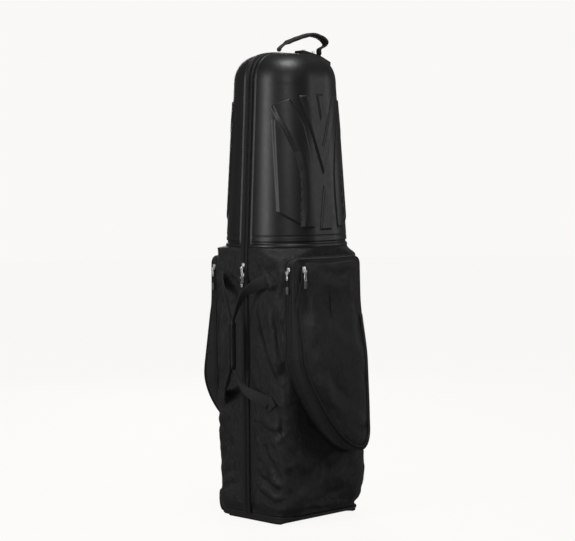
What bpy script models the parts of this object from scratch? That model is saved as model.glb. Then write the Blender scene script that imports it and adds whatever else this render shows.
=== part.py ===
"""Hard-top golf travel case: two moulded half shells over a soft fabric body on a wheeled base.

Metres, +Z up. The origin lies on the floor, midway between the front and rear halves and between the sides.
The front faces -Y. The main zip runs up the -X side, over the crest and down the +X side, and parts the
front half, which opens as a lid about the front edge of the base, from the rear half, which stands on it.
"""
from math import cos, pi, radians, sin, sqrt

import bmesh
import bpy
from mathutils import Matrix, Vector

# Clearances
FIT_GAP = 0.0003            # between pieces that touch
SEAM_GAP = 0.0005           # between a sewn edge and its zip tape
BOARD_GAP = 0.001           # round the loose floor board
POCKET_GAP = 0.0012         # between a pocket's flat facets and the rounded fabric behind them

# Fabric body
BODY_HALF_WIDTH = 0.156
BODY_HALF_DEPTH = 0.152
BODY_CORNER_RADIUS = 0.060
BODY_WALL = 0.004
BODY_NECK_HEIGHT = 0.028    # over which the fabric gathers in to the shell's rim
BODY_FOOT_INSET = 0.005
BODY_FOOT_HEIGHT = 0.035

# Hard shell
CREST_HEIGHT = 1.280
DOME_RISE = 0.090           # from the shoulder to the crest
SHELL_BASE_HEIGHT = 0.752
SHELL_RIM_INSET = 0.001     # the rim lies inside the fabric's sides
SHELL_TAPER = 0.0245        # the shell narrows by this on each side, from rim to shoulder
DOME_FLAT_HALF = 0.040
DOME_FULLNESS = 0.82        # 1 is a quarter ellipse, less is squarer
SHELL_ROUNDNESS = 0.80      # corner radius as a share of the half width
SHELL_WALL = 0.003
RELIEF_RISE = 0.003         # the pressed relief stands proud of the plain shell
RELIEF_TOP_DROP = 0.055     # its upper end, below the shoulder
RELIEF_FOOT_RISE = 0.077    # its lower end, above the rim
RELIEF_STEP = 0.006         # height over which the relief rises

# Main zip
ZIP_PARTING = 0.0005        # half the slit between the two tapes
ZIP_TAPE_WIDTH = 0.012
ZIP_TAPE_DEPTH = 0.010
ZIP_PROUD = 0.003           # tape stands out from the shell
ZIP_KINK_DROP = 0.060       # below the shell's rim, where the tape leaves its slope and runs down upright

# Base
TRAY_THICKNESS = 0.023
TRAY_INSET = 0.004
TRAY_FRONT_LIFT = 0.018     # the tray's front edge clears the floor by this
TRAY_FRONT_REACH = 0.036    # and slopes down to it over this length
BOARD_THICKNESS = 0.006

# Wheels
WHEEL_RADIUS = 0.030
WHEEL_WIDTH = 0.022
HUB_RADIUS = 0.020
HUB_WEB_WIDTH = 0.0154
HUB_BOSS_WALL = 0.0043
HUB_BOSS_SLOPE = 0.0017
TYRE_WIDTH = 0.0176
TYRE_TREAD_WIDTH = 0.010
TYRE_SHOULDER = 0.0033
AXLE_RADIUS = 0.004
WHEEL_SIDE_INSET = 0.044    # wheel centre inside the fabric's side
WHEEL_BACK_INSET = 0.026    # axle inside the fabric's rear face
WHEEL_LIFT = 0.003          # wheel clear of the floor while the case stands
WHEEL_ROOM = 0.0025         # free space round the wheel
CHEEK_WALL = 0.0045
HOUSING_BACK_REACH = 0.024  # cheeks reach this far behind the axle
HOUSING_LIFT = 0.006        # cheeks clear of the floor
ROUND_STEPS = 32

# Pockets
POCKET_NEAR_INSET = 0.022   # long upright edge, inside the fabric's side
POCKET_FAR_INSET = 0.038    # the other edge
POCKET_TOP_DROP = 0.029     # below the shell's rim
POCKET_TURN_HEIGHT = 0.456
POCKET_FAR_TURN_HEIGHT = 0.255
POCKET_LOW_HEIGHT = 0.189
POCKET_LOW_SIDE = 0.070     # lowest point lies this far to one side
POCKET_TOP_DEPTH = 0.022
POCKET_BEND_DEPTH = 0.026   # half way down the upright edge, below which the face swells out
POCKET_TURN_DEPTH = 0.054
POCKET_LOW_DEPTH = 0.066
POCKET_LAYER_SHARE = 0.72   # inner layer's share of the depth
POCKET_LAYER_INSET = 0.006
POCKET_EDGE_DROP = 0.30     # the face falls away by this share at its sides
POCKET_NEAR_DROP = 0.28     # how far the near edge runs on downward before it sweeps, as a share of its fall
POCKET_NEAR_SWEEP = 0.70    # how long it sweeps along the bottom, as a share of its distance from the middle
POCKET_FAR_ROUND = 0.60     # roundness of the far bottom corner
POCKET_ACROSS = 15
POCKET_STRAIGHT_LEVELS = 4
POCKET_CURVED_LEVELS = 8
POCKET_TIP = 0.90           # the curve stops short of its point

# Zip sliders and pulls
SLIDER_WIDTH = 0.011
SLIDER_HEIGHT = 0.014
SLIDER_PLATE = 0.0035
SLIDER_EAR = 0.002
SLIDER_EAR_RISE = 0.0044
SLIDER_GAP = 0.0006         # between a slider and the face it runs on
PULL_STANDOFF = 0.0032
PULL_THICKNESS = 0.002
PULL_LENGTH = 0.026
INNER_PULL_LENGTH = 0.038   # with the cord that its tab hangs on
PULL_SIDE_GAP = 0.0007
PULL_END_STEPS = 8
MAIN_PULL_SLANT = radians(22.0)     # the upper pull hangs askew
MAIN_PULL_TILT = radians(14.0)      # and leans on the lower slider
TAB_WIDTH = 0.009
TAB_LENGTH = 0.020
TAB_THICKNESS = 0.003
TAB_ROUNDING = 0.00225
UPPER_SLIDER_RISE = 0.010           # above the zip's kink
LOWER_SLIDER_DROP = 0.017           # below it
INNER_SLIDER_DROP = 0.030           # below the pocket's top
OUTER_SLIDER_DROP = 0.028
INNER_SLIDER_MARGIN = 0.0060        # from the inner pocket's face to the slider
OUTER_SLIDER_INSET = 0.034          # from the pocket's near edge

# Carry straps on the zip side
STRAP_THICKNESS = 0.0024
STRAP_WIDTH = 0.036
STRAP_GRIP_WIDTH = 0.010
STRAP_END_GAP = 0.0006              # between a sewn end, which leaves at a slant, and the fabric
STRAP_FORWARD = 0.092               # sewn ends from the middle, front to back
STRAP_TOP_HEIGHT = 0.664
STRAP_LOW_HEIGHT = 0.331
STRAP_BOW = 0.036                   # the strap's middle stands out this far from the fabric
STRAP_BOW_FORWARD = 0.0386          # and lies this far from the middle, front to back
STRAP_STEPS = 5                     # between each two of its points
GRIP_STANDOFF = 0.0447              # grip centre from the face of the zip
GRIP_TOP_HEIGHT = 0.552
GRIP_LENGTH = 0.130
GRIP_HALF_DEPTH = 0.008             # each strap's half of the wrapped grip, front to back
GRIP_WIDTH = 0.014

# Top handle
HANDLE_LEFT_SIDE = 0.042            # left foot from the middle, to the side
HANDLE_LEFT_FORWARD = 0.024         # and to the front
HANDLE_RIGHT_SIDE = 0.086
HANDLE_RIGHT_FORWARD = 0.048
HANDLE_STRAP_WIDTH = 0.024
HANDLE_STRAP_THICKNESS = 0.003
HANDLE_SLEEVE_WIDTH = 0.030
HANDLE_SLEEVE_THICKNESS = 0.011
HANDLE_RISE = 0.048
HANDLE_FOOT_GAP = 0.0012            # between the round foot of the strap and the flat facets of the dome
# Points up and over the arch: share of the way between the feet, share of the rise
HANDLE_ARCH = ((0.0, 0.0), (0.14, 0.32), (0.45, 0.72), (0.76, 1.0), (1.0, 0.92), (1.13, 0.70), (1.12, 0.46),
               (1.0, 0.24), (1.0, 0.0))
HANDLE_STEPS = 3                    # between each two of those points
HANDLE_SLEEVE_POINTS = (1, 6)       # the arch points between which the sleeve lies
# The foot's round end: share of the strap's width, share of the half width below the axis
HANDLE_FOOT_ROUND = ((0.55, -0.85), (0.88, -0.5))
ANCHOR_LEFT_REACH = 0.066           # the pad, from the foot towards the middle
ANCHOR_RIGHT_REACH = 0.026          # and outward
ANCHOR_WIDTH = 0.044
ANCHOR_THICKNESS = 0.009
ANCHOR_SLOT_GAP = 0.0008            # on each face of the strap
ANCHOR_SWING_ROOM = 0.002           # past each edge of the strap, so that it can swing
ANCHOR_RIVET_RADIUS = 0.004
ANCHOR_RIVET_HEIGHT = 0.0025
ANCHOR_RIVET_STEPS = 16
ANCHOR_LEFT_RIVET = 0.0515          # distance of each rivet from the foot
ANCHOR_RIGHT_RIVET = 0.0202

# Levels and places that follow from the sizes above
CUT = ZIP_PARTING + ZIP_TAPE_WIDTH + SEAM_GAP
BODY_BOTTOM = TRAY_THICKNESS + FIT_GAP
BODY_TOP = SHELL_BASE_HEIGHT - FIT_GAP
AXLE_HEIGHT = WHEEL_RADIUS + WHEEL_LIFT
SHOULDER_HEIGHT = CREST_HEIGHT - DOME_RISE
SHELL_RIM_HALF = BODY_HALF_WIDTH - SHELL_RIM_INSET
SHELL_SHOULDER_HALF = SHELL_RIM_HALF - SHELL_TAPER
SHELL_SLOPE = SHELL_TAPER / (SHOULDER_HEIGHT - SHELL_BASE_HEIGHT)
RELIEF_TOP_HEIGHT = SHOULDER_HEIGHT - RELIEF_TOP_DROP
RELIEF_BOTTOM_HEIGHT = SHELL_BASE_HEIGHT + RELIEF_FOOT_RISE
ZIP_KINK_HEIGHT = SHELL_BASE_HEIGHT - ZIP_KINK_DROP
ZIP_SIDE = SHELL_RIM_HALF + SHELL_SLOPE * ZIP_KINK_DROP + ZIP_PROUD
WHEEL_SIDE = BODY_HALF_WIDTH - WHEEL_SIDE_INSET
WHEEL_BACK = BODY_HALF_DEPTH - WHEEL_BACK_INSET
POCKET_NEAR_SIDE = BODY_HALF_WIDTH - POCKET_NEAR_INSET
POCKET_FAR_SIDE = BODY_HALF_WIDTH - POCKET_FAR_INSET
POCKET_TOP_HEIGHT = SHELL_BASE_HEIGHT - POCKET_TOP_DROP
POCKET_BEND_HEIGHT = (POCKET_TOP_HEIGHT + POCKET_TURN_HEIGHT) / 2
UPPER_SLIDER_HEIGHT = ZIP_KINK_HEIGHT + UPPER_SLIDER_RISE
LOWER_SLIDER_HEIGHT = ZIP_KINK_HEIGHT - LOWER_SLIDER_DROP
INNER_SLIDER_HEIGHT = POCKET_TOP_HEIGHT - INNER_SLIDER_DROP
OUTER_SLIDER_HEIGHT = POCKET_TOP_HEIGHT - OUTER_SLIDER_DROP
OUTER_SLIDER_SIDE = POCKET_NEAR_SIDE - OUTER_SLIDER_INSET
GRIP_OUT = ZIP_SIDE + GRIP_STANDOFF
HANDLE_FOOT_RADIUS = HANDLE_STRAP_WIDTH / 2
LID_AXIS = Vector((0.0, -BODY_HALF_DEPTH, BODY_BOTTOM))
OUTLINE_STEPS = 6
DOME_STEPS = 4
WELD = 0.00001              # points closer than this are one


# Scene and materials
def clear_scene():
    for item in list(bpy.data.objects):
        bpy.data.objects.remove(item, do_unlink=True)


def new_collection(name):
    collection = bpy.data.collections.new(name)
    bpy.context.scene.collection.children.link(collection)
    return collection


def new_material(name, colour, roughness, metallic=0.0):
    material = bpy.data.materials.new(name)
    material.use_nodes = True
    shader = material.node_tree.nodes["Principled BSDF"]
    shader.inputs["Base Color"].default_value = (*colour, 1.0)
    shader.inputs["Roughness"].default_value = roughness
    shader.inputs["Metallic"].default_value = metallic
    return material


clear_scene()
PARTS = new_collection("golf_travel_case")
CUTTERS = new_collection("golf_travel_case_cutters")
SHELL_PLASTIC = new_material("satin_shell_plastic", (0.035, 0.035, 0.038), 0.42)
BASE_PLASTIC = new_material("base_plastic", (0.020, 0.020, 0.022), 0.50)
FABRIC = new_material("black_nylon", (0.012, 0.012, 0.014), 0.85)
WEBBING = new_material("black_webbing", (0.010, 0.010, 0.011), 0.80)
TAPE = new_material("zip_tape", (0.009, 0.009, 0.010), 0.70)
NICKEL = new_material("nickel", (0.72, 0.71, 0.69), 0.28, 1.0)
STEEL = new_material("axle_steel", (0.55, 0.55, 0.56), 0.35, 1.0)
RUBBER = new_material("black_rubber", (0.018, 0.018, 0.018), 0.75)
TAB_RUBBER = new_material("grey_tab_rubber", (0.10, 0.10, 0.10), 0.60)


# Building blocks
def pivot(name, place, parent=None):
    """An empty on a joint's axis, at a place in its parent's space."""
    empty = bpy.data.objects.new(name, None)
    empty.location = place
    empty.parent = parent
    PARTS.objects.link(empty)
    return empty


def add_local(name, mesh, material, parent=None):
    """Adds a mesh made about its parent's axis."""
    part = bpy.data.objects.new(name, mesh)
    part.data.materials.append(material)
    part.parent = parent
    PARTS.objects.link(part)
    return part


def add_part(name, mesh, material, lid=None):
    """Adds a mesh made in world coordinates, on the lid or standing still."""
    if lid is not None:
        mesh.transform(Matrix.Translation(-lid.location))
    return add_local(name, mesh, material, lid)


def add_cutter(name, mesh):
    cutter = bpy.data.objects.new(name, mesh)
    cutter.hide_render = True
    cutter.display_type = "WIRE"
    CUTTERS.objects.link(cutter)
    return cutter


def cut(part, cutter):
    modifier = part.modifiers.new("cut_" + cutter.name, "BOOLEAN")
    modifier.operation = "DIFFERENCE"
    modifier.object = cutter


def finish_mesh(work, name):
    bmesh.ops.recalc_face_normals(work, faces=work.faces)
    mesh = bpy.data.meshes.new(name)
    work.to_mesh(mesh)
    work.free()
    return mesh


def box_mesh(name, low, high):
    work = bmesh.new()
    size = Vector(high) - Vector(low)
    middle = (Vector(high) + Vector(low)) / 2
    bmesh.ops.create_cube(work, size=1.0, matrix=Matrix.Translation(middle) @ Matrix.Diagonal((*size, 1.0)))
    return finish_mesh(work, name)


def rod_mesh(name, start, end, radius, steps=ROUND_STEPS):
    work = bmesh.new()
    along = Vector(end) - Vector(start)
    middle = (Vector(start) + Vector(end)) / 2
    turn = along.to_track_quat("Z", "Y").to_matrix().to_4x4()
    bmesh.ops.create_cone(work, cap_ends=True, segments=steps, radius1=radius, radius2=radius,
                          depth=along.length, matrix=Matrix.Translation(middle) @ turn)
    return finish_mesh(work, name)


def outline_mesh(name, points, thickness):
    """A flat outline in the local XY plane, thickened evenly to both sides of it."""
    curve = bpy.data.curves.new(name, "CURVE")
    curve.dimensions = "2D"
    curve.fill_mode = "BOTH"
    curve.extrude = thickness / 2
    spline = curve.splines.new("POLY")
    spline.points.add(len(points) - 1)
    for point, (x, y) in zip(spline.points, points):
        point.co = (x, y, 0.0, 1.0)
    spline.use_cyclic_u = True
    holder = bpy.data.objects.new(name, curve)
    PARTS.objects.link(holder)
    graph = bpy.context.evaluated_depsgraph_get()
    mesh = bpy.data.meshes.new_from_object(holder.evaluated_get(graph))
    bpy.data.objects.remove(holder, do_unlink=True)
    work = bmesh.new()
    work.from_mesh(mesh)
    bpy.data.meshes.remove(mesh)
    bmesh.ops.remove_doubles(work, verts=work.verts, dist=WELD)
    return finish_mesh(work, name)


def loft_mesh(name, sections):
    """A closed body through closed sections with equally many points."""
    work = bmesh.new()
    loops = [[work.verts.new(point) for point in section] for section in sections]
    for lower, upper in zip(loops, loops[1:]):
        for index in range(len(lower)):
            after = (index + 1) % len(lower)
            work.faces.new((lower[index], lower[after], upper[after], upper[index]))
    work.faces.new(loops[0])
    work.faces.new(loops[-1])
    return finish_mesh(work, name)


def sleeve_mesh(name, outer_sections, inner_sections):
    """A closed tube between an outer and an inner run of sections."""
    work = bmesh.new()
    outer = [[work.verts.new(point) for point in section] for section in outer_sections]
    inner = [[work.verts.new(point) for point in section] for section in inner_sections]
    count = len(outer[0])
    for loops in (outer, inner):
        for lower, upper in zip(loops, loops[1:]):
            for index in range(count):
                after = (index + 1) % count
                work.faces.new((lower[index], lower[after], upper[after], upper[index]))
    for end in (0, -1):
        for index in range(count):
            after = (index + 1) % count
            work.faces.new((outer[end][index], outer[end][after], inner[end][after], inner[end][index]))
    return finish_mesh(work, name)


def turned_part(name, profile, material, parent):
    """A closed profile of (radius, along) points turned about its parent's axis, which is parallel to X."""
    mesh = bpy.data.meshes.new(name)
    points = [(radius, 0.0, along) for radius, along in profile]
    edges = [(index, (index + 1) % len(points)) for index in range(len(points))]
    mesh.from_pydata(points, edges, [])
    part = add_local(name, mesh, material, parent)
    part.rotation_euler = (0.0, pi / 2, 0.0)
    screw = part.modifiers.new("turn", "SCREW")
    screw.axis = "Z"
    screw.steps = ROUND_STEPS
    screw.render_steps = ROUND_STEPS
    screw.use_merge_vertices = True
    screw.merge_threshold = WELD


def rounded_rectangle(half_x, half_y, radius):
    corners = ((1, 1, 0.0), (-1, 1, pi / 2), (-1, -1, pi), (1, -1, 3 * pi / 2))
    points = []
    for side, back, start in corners:
        for step in range(OUTLINE_STEPS + 1):
            angle = start + pi / 2 * step / OUTLINE_STEPS
            points.append((side * (half_x - radius) + radius * cos(angle),
                           back * (half_y - radius) + radius * sin(angle)))
    return points


def front_outline(half_x, half_y, radius, height):
    """The front half of a rounded plan, from its -X cut edge round the front to its +X cut edge."""
    points = [Vector((-half_x, -CUT, height))]
    for side, start in ((-1, pi), (1, 3 * pi / 2)):
        for step in range(OUTLINE_STEPS + 1):
            angle = start + pi / 2 * step / OUTLINE_STEPS
            points.append(Vector((side * (half_x - radius) + radius * cos(angle),
                                  radius - half_y + radius * sin(angle), height)))
    points.append(Vector((half_x, -CUT, height)))
    return points


def half_shell_mesh(name, rings, capped):
    """An open surface through the rings, faces outward."""
    work = bmesh.new()
    loops = [[work.verts.new(point) for point in ring] for ring in rings]
    for lower, upper in zip(loops, loops[1:]):
        for index in range(len(lower) - 1):
            work.faces.new((lower[index], lower[index + 1], upper[index + 1], upper[index]))
    if capped:
        work.faces.new(loops[-1])
    mesh = bpy.data.meshes.new(name)
    work.to_mesh(mesh)
    work.free()
    return mesh


def add_wall(part, wall):
    solidify = part.modifiers.new("wall", "SOLIDIFY")
    solidify.thickness = wall
    solidify.offset = -1.0
    solidify.use_even_offset = True
    solidify.use_quality_normals = True


# Hard shell
def shell_half(height):
    """Half width of the plain shell below the shoulder, without its relief."""
    return SHELL_RIM_HALF - SHELL_SLOPE * (height - SHELL_BASE_HEIGHT)


def dome_level(turn):
    """Half width and height on the dome, from the shoulder (turn 0) to the flat crest (turn 90 degrees)."""
    half = DOME_FLAT_HALF + (SHELL_SHOULDER_HALF - DOME_FLAT_HALF) * max(cos(turn), 0.0) ** DOME_FULLNESS
    return half, SHOULDER_HEIGHT + (CREST_HEIGHT - SHOULDER_HEIGHT) * sin(turn) ** DOME_FULLNESS


def shell_levels():
    levels = [(shell_half(SHELL_BASE_HEIGHT), SHELL_BASE_HEIGHT)]
    levels.append((shell_half(RELIEF_BOTTOM_HEIGHT), RELIEF_BOTTOM_HEIGHT))
    for height in (RELIEF_BOTTOM_HEIGHT + RELIEF_STEP, RELIEF_TOP_HEIGHT - RELIEF_STEP):
        levels.append((shell_half(height) + RELIEF_RISE, height))
    levels.append((shell_half(RELIEF_TOP_HEIGHT), RELIEF_TOP_HEIGHT))
    for step in range(DOME_STEPS + 1):
        levels.append(dome_level(pi / 2 * step / DOME_STEPS))
    return levels


def shell_radius(half):
    return min(SHELL_ROUNDNESS * half, half - CUT - SEAM_GAP)


def shell_rings(grow=0.0):
    rings = []
    for half, height in shell_levels():
        rings.append(front_outline(half + grow, half + grow, shell_radius(half), height))
    for point in rings[-1]:
        point.z += grow
    return rings


def build_shells(lid):
    front = add_part("front_shell", half_shell_mesh("front_shell", shell_rings(), True), SHELL_PLASTIC, lid)
    add_wall(front, SHELL_WALL)
    rear_mesh = half_shell_mesh("rear_shell", shell_rings(), True)
    rear_mesh.transform(Matrix.Rotation(pi, 4, "Z"))
    rear = add_part("rear_shell", rear_mesh, SHELL_PLASTIC)
    add_wall(rear, SHELL_WALL)


# Fabric body
def body_rings():
    half_x, half_y, radius = BODY_HALF_WIDTH, BODY_HALF_DEPTH, BODY_CORNER_RADIUS
    foot_x, foot_y = half_x - BODY_FOOT_INSET, half_y - BODY_FOOT_INSET
    return [front_outline(foot_x, foot_y, radius - BODY_FOOT_INSET, BODY_BOTTOM),
            front_outline(half_x, half_y, radius, BODY_BOTTOM + BODY_FOOT_HEIGHT),
            front_outline(half_x, half_y, radius, BODY_TOP - BODY_NECK_HEIGHT),
            front_outline(SHELL_RIM_HALF, SHELL_RIM_HALF, shell_radius(SHELL_RIM_HALF), BODY_TOP)]


def body_depth(side):
    """Distance of the fabric's front face from the middle, at a distance to the side."""
    flat = BODY_HALF_WIDTH - BODY_CORNER_RADIUS
    over = max(abs(side) - flat, 0.0)
    return BODY_HALF_DEPTH - BODY_CORNER_RADIUS + sqrt(BODY_CORNER_RADIUS ** 2 - over ** 2)


def build_body(lid):
    front_mesh = half_shell_mesh("front_body_fabric", body_rings(), False)
    front = add_part("front_body_fabric", front_mesh, FABRIC, lid)
    add_wall(front, BODY_WALL)
    rear_mesh = half_shell_mesh("rear_body_fabric", body_rings(), False)
    rear_mesh.transform(Matrix.Rotation(pi, 4, "Z"))
    rear = add_part("rear_body_fabric", rear_mesh, FABRIC)
    add_wall(rear, BODY_WALL)
    for side in (-1, 1):
        cut(rear, housing_room(side, "fabric", 0.0))


# Main zip
def zip_contour():
    """Outer edge of the main zip in the XZ plane, from the foot of the -X side to the foot of the +X side."""
    half = [(ZIP_SIDE, BODY_BOTTOM), (ZIP_SIDE, ZIP_KINK_HEIGHT)]
    for step in range(2 * DOME_STEPS + 1):
        turn = pi / 2 * step / (2 * DOME_STEPS)
        width, height = dome_level(turn)
        half.append((width + ZIP_PROUD * cos(turn), height + ZIP_PROUD * sin(turn)))
    return [(-x, z) for x, z in half] + [(x, z) for x, z in reversed(half)]


def inner_contour(contour, depth):
    """The contour moved inward by the tape's depth, corner by corner."""
    moved = []
    for index, (x, z) in enumerate(contour):
        before = Vector(contour[max(index - 1, 0)])
        after = Vector(contour[min(index + 1, len(contour) - 1)])
        along = (after - before).normalized()
        if index in (0, len(contour) - 1):
            along = Vector((0.0, along.y)).normalized()
        moved.append((x + along.y * depth, z - along.x * depth))
    return moved


def build_zip(lid):
    contour = zip_contour()
    outline = contour + list(reversed(inner_contour(contour, ZIP_TAPE_DEPTH)))
    upright = Matrix.Rotation(pi / 2, 4, "X")
    middle = ZIP_PARTING + ZIP_TAPE_WIDTH / 2
    for name, side, parent in (("front_zip_tape", -1, lid), ("rear_zip_tape", 1, None)):
        mesh = outline_mesh(name, outline, ZIP_TAPE_WIDTH)
        mesh.transform(Matrix.Translation((0.0, side * middle, 0.0)) @ upright)
        add_part(name, mesh, TAPE, parent)


# Base
def housing_bounds(side, grow=0.0):
    """Outer corners of one wheel housing."""
    inner = WHEEL_SIDE - WHEEL_WIDTH / 2 - WHEEL_ROOM - CHEEK_WALL - grow
    outer = WHEEL_SIDE + WHEEL_WIDTH / 2 + WHEEL_ROOM + CHEEK_WALL + grow
    low = Vector((min(side * inner, side * outer), WHEEL_BACK - WHEEL_RADIUS - WHEEL_ROOM - CHEEK_WALL - grow,
                  HOUSING_LIFT - grow))
    high = Vector((max(side * inner, side * outer), WHEEL_BACK + HOUSING_BACK_REACH,
                   AXLE_HEIGHT + WHEEL_RADIUS + WHEEL_ROOM + CHEEK_WALL + grow))
    return low, high


def housing_room(side, piece, side_reach):
    """Cutter for the room that a wheel housing takes out of a piece, reaching out past the housing's side."""
    low, high = housing_bounds(side, FIT_GAP)
    low.z -= TRAY_THICKNESS
    high.y += BODY_HALF_DEPTH
    if side > 0:
        high.x += side_reach
    else:
        low.x -= side_reach
    name = piece + "_housing_room_" + side_name(side)
    return add_cutter(name, box_mesh(name, low, high))


def side_name(side):
    return "left" if side < 0 else "right"


def plate_mesh(name, half_x, half_y, radius, bottom, thickness):
    mesh = outline_mesh(name, rounded_rectangle(half_x, half_y, radius), thickness)
    mesh.transform(Matrix.Translation((0.0, 0.0, bottom + thickness / 2)))
    return mesh


def build_base():
    tray_x = BODY_HALF_WIDTH - BODY_FOOT_INSET - TRAY_INSET
    tray_y = BODY_HALF_DEPTH - TRAY_INSET
    tray_radius = BODY_CORNER_RADIUS - TRAY_INSET
    outline = rounded_rectangle(tray_x, tray_y, tray_radius)
    sole_front = TRAY_FRONT_REACH - tray_y
    sections = [[Vector((x, max(y, sole_front), 0.0)) for x, y in outline]]
    for height in (TRAY_FRONT_LIFT, TRAY_THICKNESS):
        sections.append([Vector((x, y, height)) for x, y in outline])
    tray = add_part("base_tray", loft_mesh("base_tray", sections), BASE_PLASTIC)
    board_x = BODY_HALF_WIDTH - BODY_FOOT_INSET - BODY_WALL - BOARD_GAP
    board_y = BODY_HALF_DEPTH - BODY_FOOT_INSET - BODY_WALL - BOARD_GAP
    board_radius = BODY_CORNER_RADIUS - BODY_FOOT_INSET - BODY_WALL
    board = add_part("base_board", plate_mesh("base_board", board_x, board_y, board_radius, BODY_BOTTOM,
                                              BOARD_THICKNESS), BASE_PLASTIC)
    for side in (-1, 1):
        cut(tray, housing_room(side, "tray", BODY_CORNER_RADIUS))
        cut(board, housing_room(side, "board", BODY_CORNER_RADIUS))


# Wheels
def build_wheel(side):
    end = side_name(side)
    low, high = housing_bounds(side)
    housing = add_part("wheel_housing_" + end, box_mesh("wheel_housing_" + end, low, high), BASE_PLASTIC)
    room = WHEEL_WIDTH / 2 + WHEEL_ROOM
    hollow_low = Vector((side * WHEEL_SIDE - room, low.y + CHEEK_WALL, low.z - CHEEK_WALL))
    hollow_high = Vector((side * WHEEL_SIDE + room, high.y + CHEEK_WALL, high.z - CHEEK_WALL))
    cut(housing, add_cutter("wheel_hollow_" + end, box_mesh("wheel_hollow_" + end, hollow_low, hollow_high)))
    axle_start = Vector((low.x + FIT_GAP, WHEEL_BACK, AXLE_HEIGHT))
    axle_end = Vector((high.x - FIT_GAP, WHEEL_BACK, AXLE_HEIGHT))
    beyond = Vector((CHEEK_WALL, 0.0, 0.0))
    hole = rod_mesh("axle_hole_" + end, axle_start - beyond, axle_end + beyond, AXLE_RADIUS + FIT_GAP)
    cut(housing, add_cutter("axle_hole_" + end, hole))
    add_part("wheel_axle_" + end, rod_mesh("wheel_axle_" + end, axle_start, axle_end, AXLE_RADIUS), STEEL)
    centre = Vector((side * WHEEL_SIDE, WHEEL_BACK, AXLE_HEIGHT))
    spin = pivot("pivot_wheel_" + end, centre)
    half = WHEEL_WIDTH / 2
    web = HUB_WEB_WIDTH / 2
    bore = AXLE_RADIUS + FIT_GAP
    boss = bore + HUB_BOSS_WALL
    root = boss + HUB_BOSS_SLOPE
    hub_profile = [(bore, half), (boss, half), (root, web), (HUB_RADIUS, web),
                   (HUB_RADIUS, -web), (root, -web), (boss, -half), (bore, -half)]
    turned_part("wheel_hub_" + end, hub_profile, BASE_PLASTIC, spin)
    seat = HUB_RADIUS + FIT_GAP
    shoulder = WHEEL_RADIUS - TYRE_SHOULDER
    wall = TYRE_WIDTH / 2
    tread = TYRE_TREAD_WIDTH / 2
    tyre_profile = [(seat, wall), (shoulder, wall), (WHEEL_RADIUS, tread),
                    (WHEEL_RADIUS, -tread), (shoulder, -wall), (seat, -wall)]
    turned_part("wheel_tyre_" + end, tyre_profile, RUBBER, spin)


# Pockets
def curve_point(start, start_handle, end_handle, end, share):
    rest = 1.0 - share
    return (start * rest ** 3 + start_handle * 3 * rest ** 2 * share
            + end_handle * 3 * rest * share ** 2 + end * share ** 3)


def pocket_edges(inset):
    """Pairs of (side, height) points down the near and the far edge of a pocket."""
    near_side = POCKET_NEAR_SIDE - inset
    far_side = POCKET_FAR_SIDE - inset
    top = POCKET_TOP_HEIGHT - inset
    tip = Vector((POCKET_LOW_SIDE, POCKET_LOW_HEIGHT + inset))
    near_turn = Vector((-near_side, POCKET_TURN_HEIGHT))
    far_turn = Vector((far_side, POCKET_FAR_TURN_HEIGHT))
    near_drop = Vector((0.0, -(POCKET_TURN_HEIGHT - POCKET_LOW_HEIGHT) * POCKET_NEAR_DROP))
    near_sweep = Vector((-near_side * POCKET_NEAR_SWEEP, 0.0))
    far_drop = Vector((0.0, -(POCKET_FAR_TURN_HEIGHT - POCKET_LOW_HEIGHT) * POCKET_FAR_ROUND))
    far_sweep = Vector(((far_side - POCKET_LOW_SIDE) * POCKET_FAR_ROUND, 0.0))
    edges = []
    for level in range(POCKET_STRAIGHT_LEVELS + 1):
        height = top + (POCKET_TURN_HEIGHT - top) * level / POCKET_STRAIGHT_LEVELS
        edges.append((Vector((-near_side, height)), Vector((far_side, height))))
    for level in range(1, POCKET_CURVED_LEVELS + 1):
        share = POCKET_TIP * level / POCKET_CURVED_LEVELS
        near = curve_point(near_turn, near_turn + near_drop, tip + near_sweep, tip, share)
        if share < 0.5:
            far = Vector((far_side, POCKET_TURN_HEIGHT)).lerp(far_turn, share * 2)
        else:
            far = curve_point(far_turn, far_turn + far_drop, tip + far_sweep, tip, share * 2 - 1)
        edges.append((near, far))
    return edges


def pocket_depth(height):
    """How far the pocket's face stands out from the fabric at a height."""
    levels = ((POCKET_TOP_HEIGHT, POCKET_TOP_DEPTH), (POCKET_BEND_HEIGHT, POCKET_BEND_DEPTH),
              (POCKET_TURN_HEIGHT, POCKET_TURN_DEPTH), (POCKET_LOW_HEIGHT, POCKET_LOW_DEPTH))
    for (upper, upper_depth), (lower, lower_depth) in zip(levels, levels[1:]):
        if height > lower:
            return upper_depth + (lower_depth - upper_depth) * (upper - height) / (upper - lower)
    return POCKET_LOW_DEPTH


def pocket_face(side, height, share):
    """Distance from the middle of a pocket layer's face, lower at the pocket's sides."""
    edge = abs(side) / POCKET_NEAR_SIDE
    return BODY_HALF_DEPTH + share * pocket_depth(height) * (1.0 - POCKET_EDGE_DROP * edge ** 4)


def pocket_mesh(name, inset, back_face, share):
    sections = []
    for near, far in pocket_edges(inset):
        back, front = [], []
        for index in range(POCKET_ACROSS):
            point = near.lerp(far, (1.0 - cos(pi * index / (POCKET_ACROSS - 1))) / 2)
            back.append(Vector((point.x, -back_face(point.x, point.y) - POCKET_GAP, point.y)))
            front.append(Vector((point.x, -pocket_face(point.x, point.y, share), point.y)))
        sections.append(back + list(reversed(front)))
    return loft_mesh(name, sections)


def mirrored(mesh):
    """The mesh mirrored from front to rear, faces outward again."""
    mesh.transform(Matrix.Diagonal((1.0, -1.0, 1.0, 1.0)))
    mesh.flip_normals()
    return mesh


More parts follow.
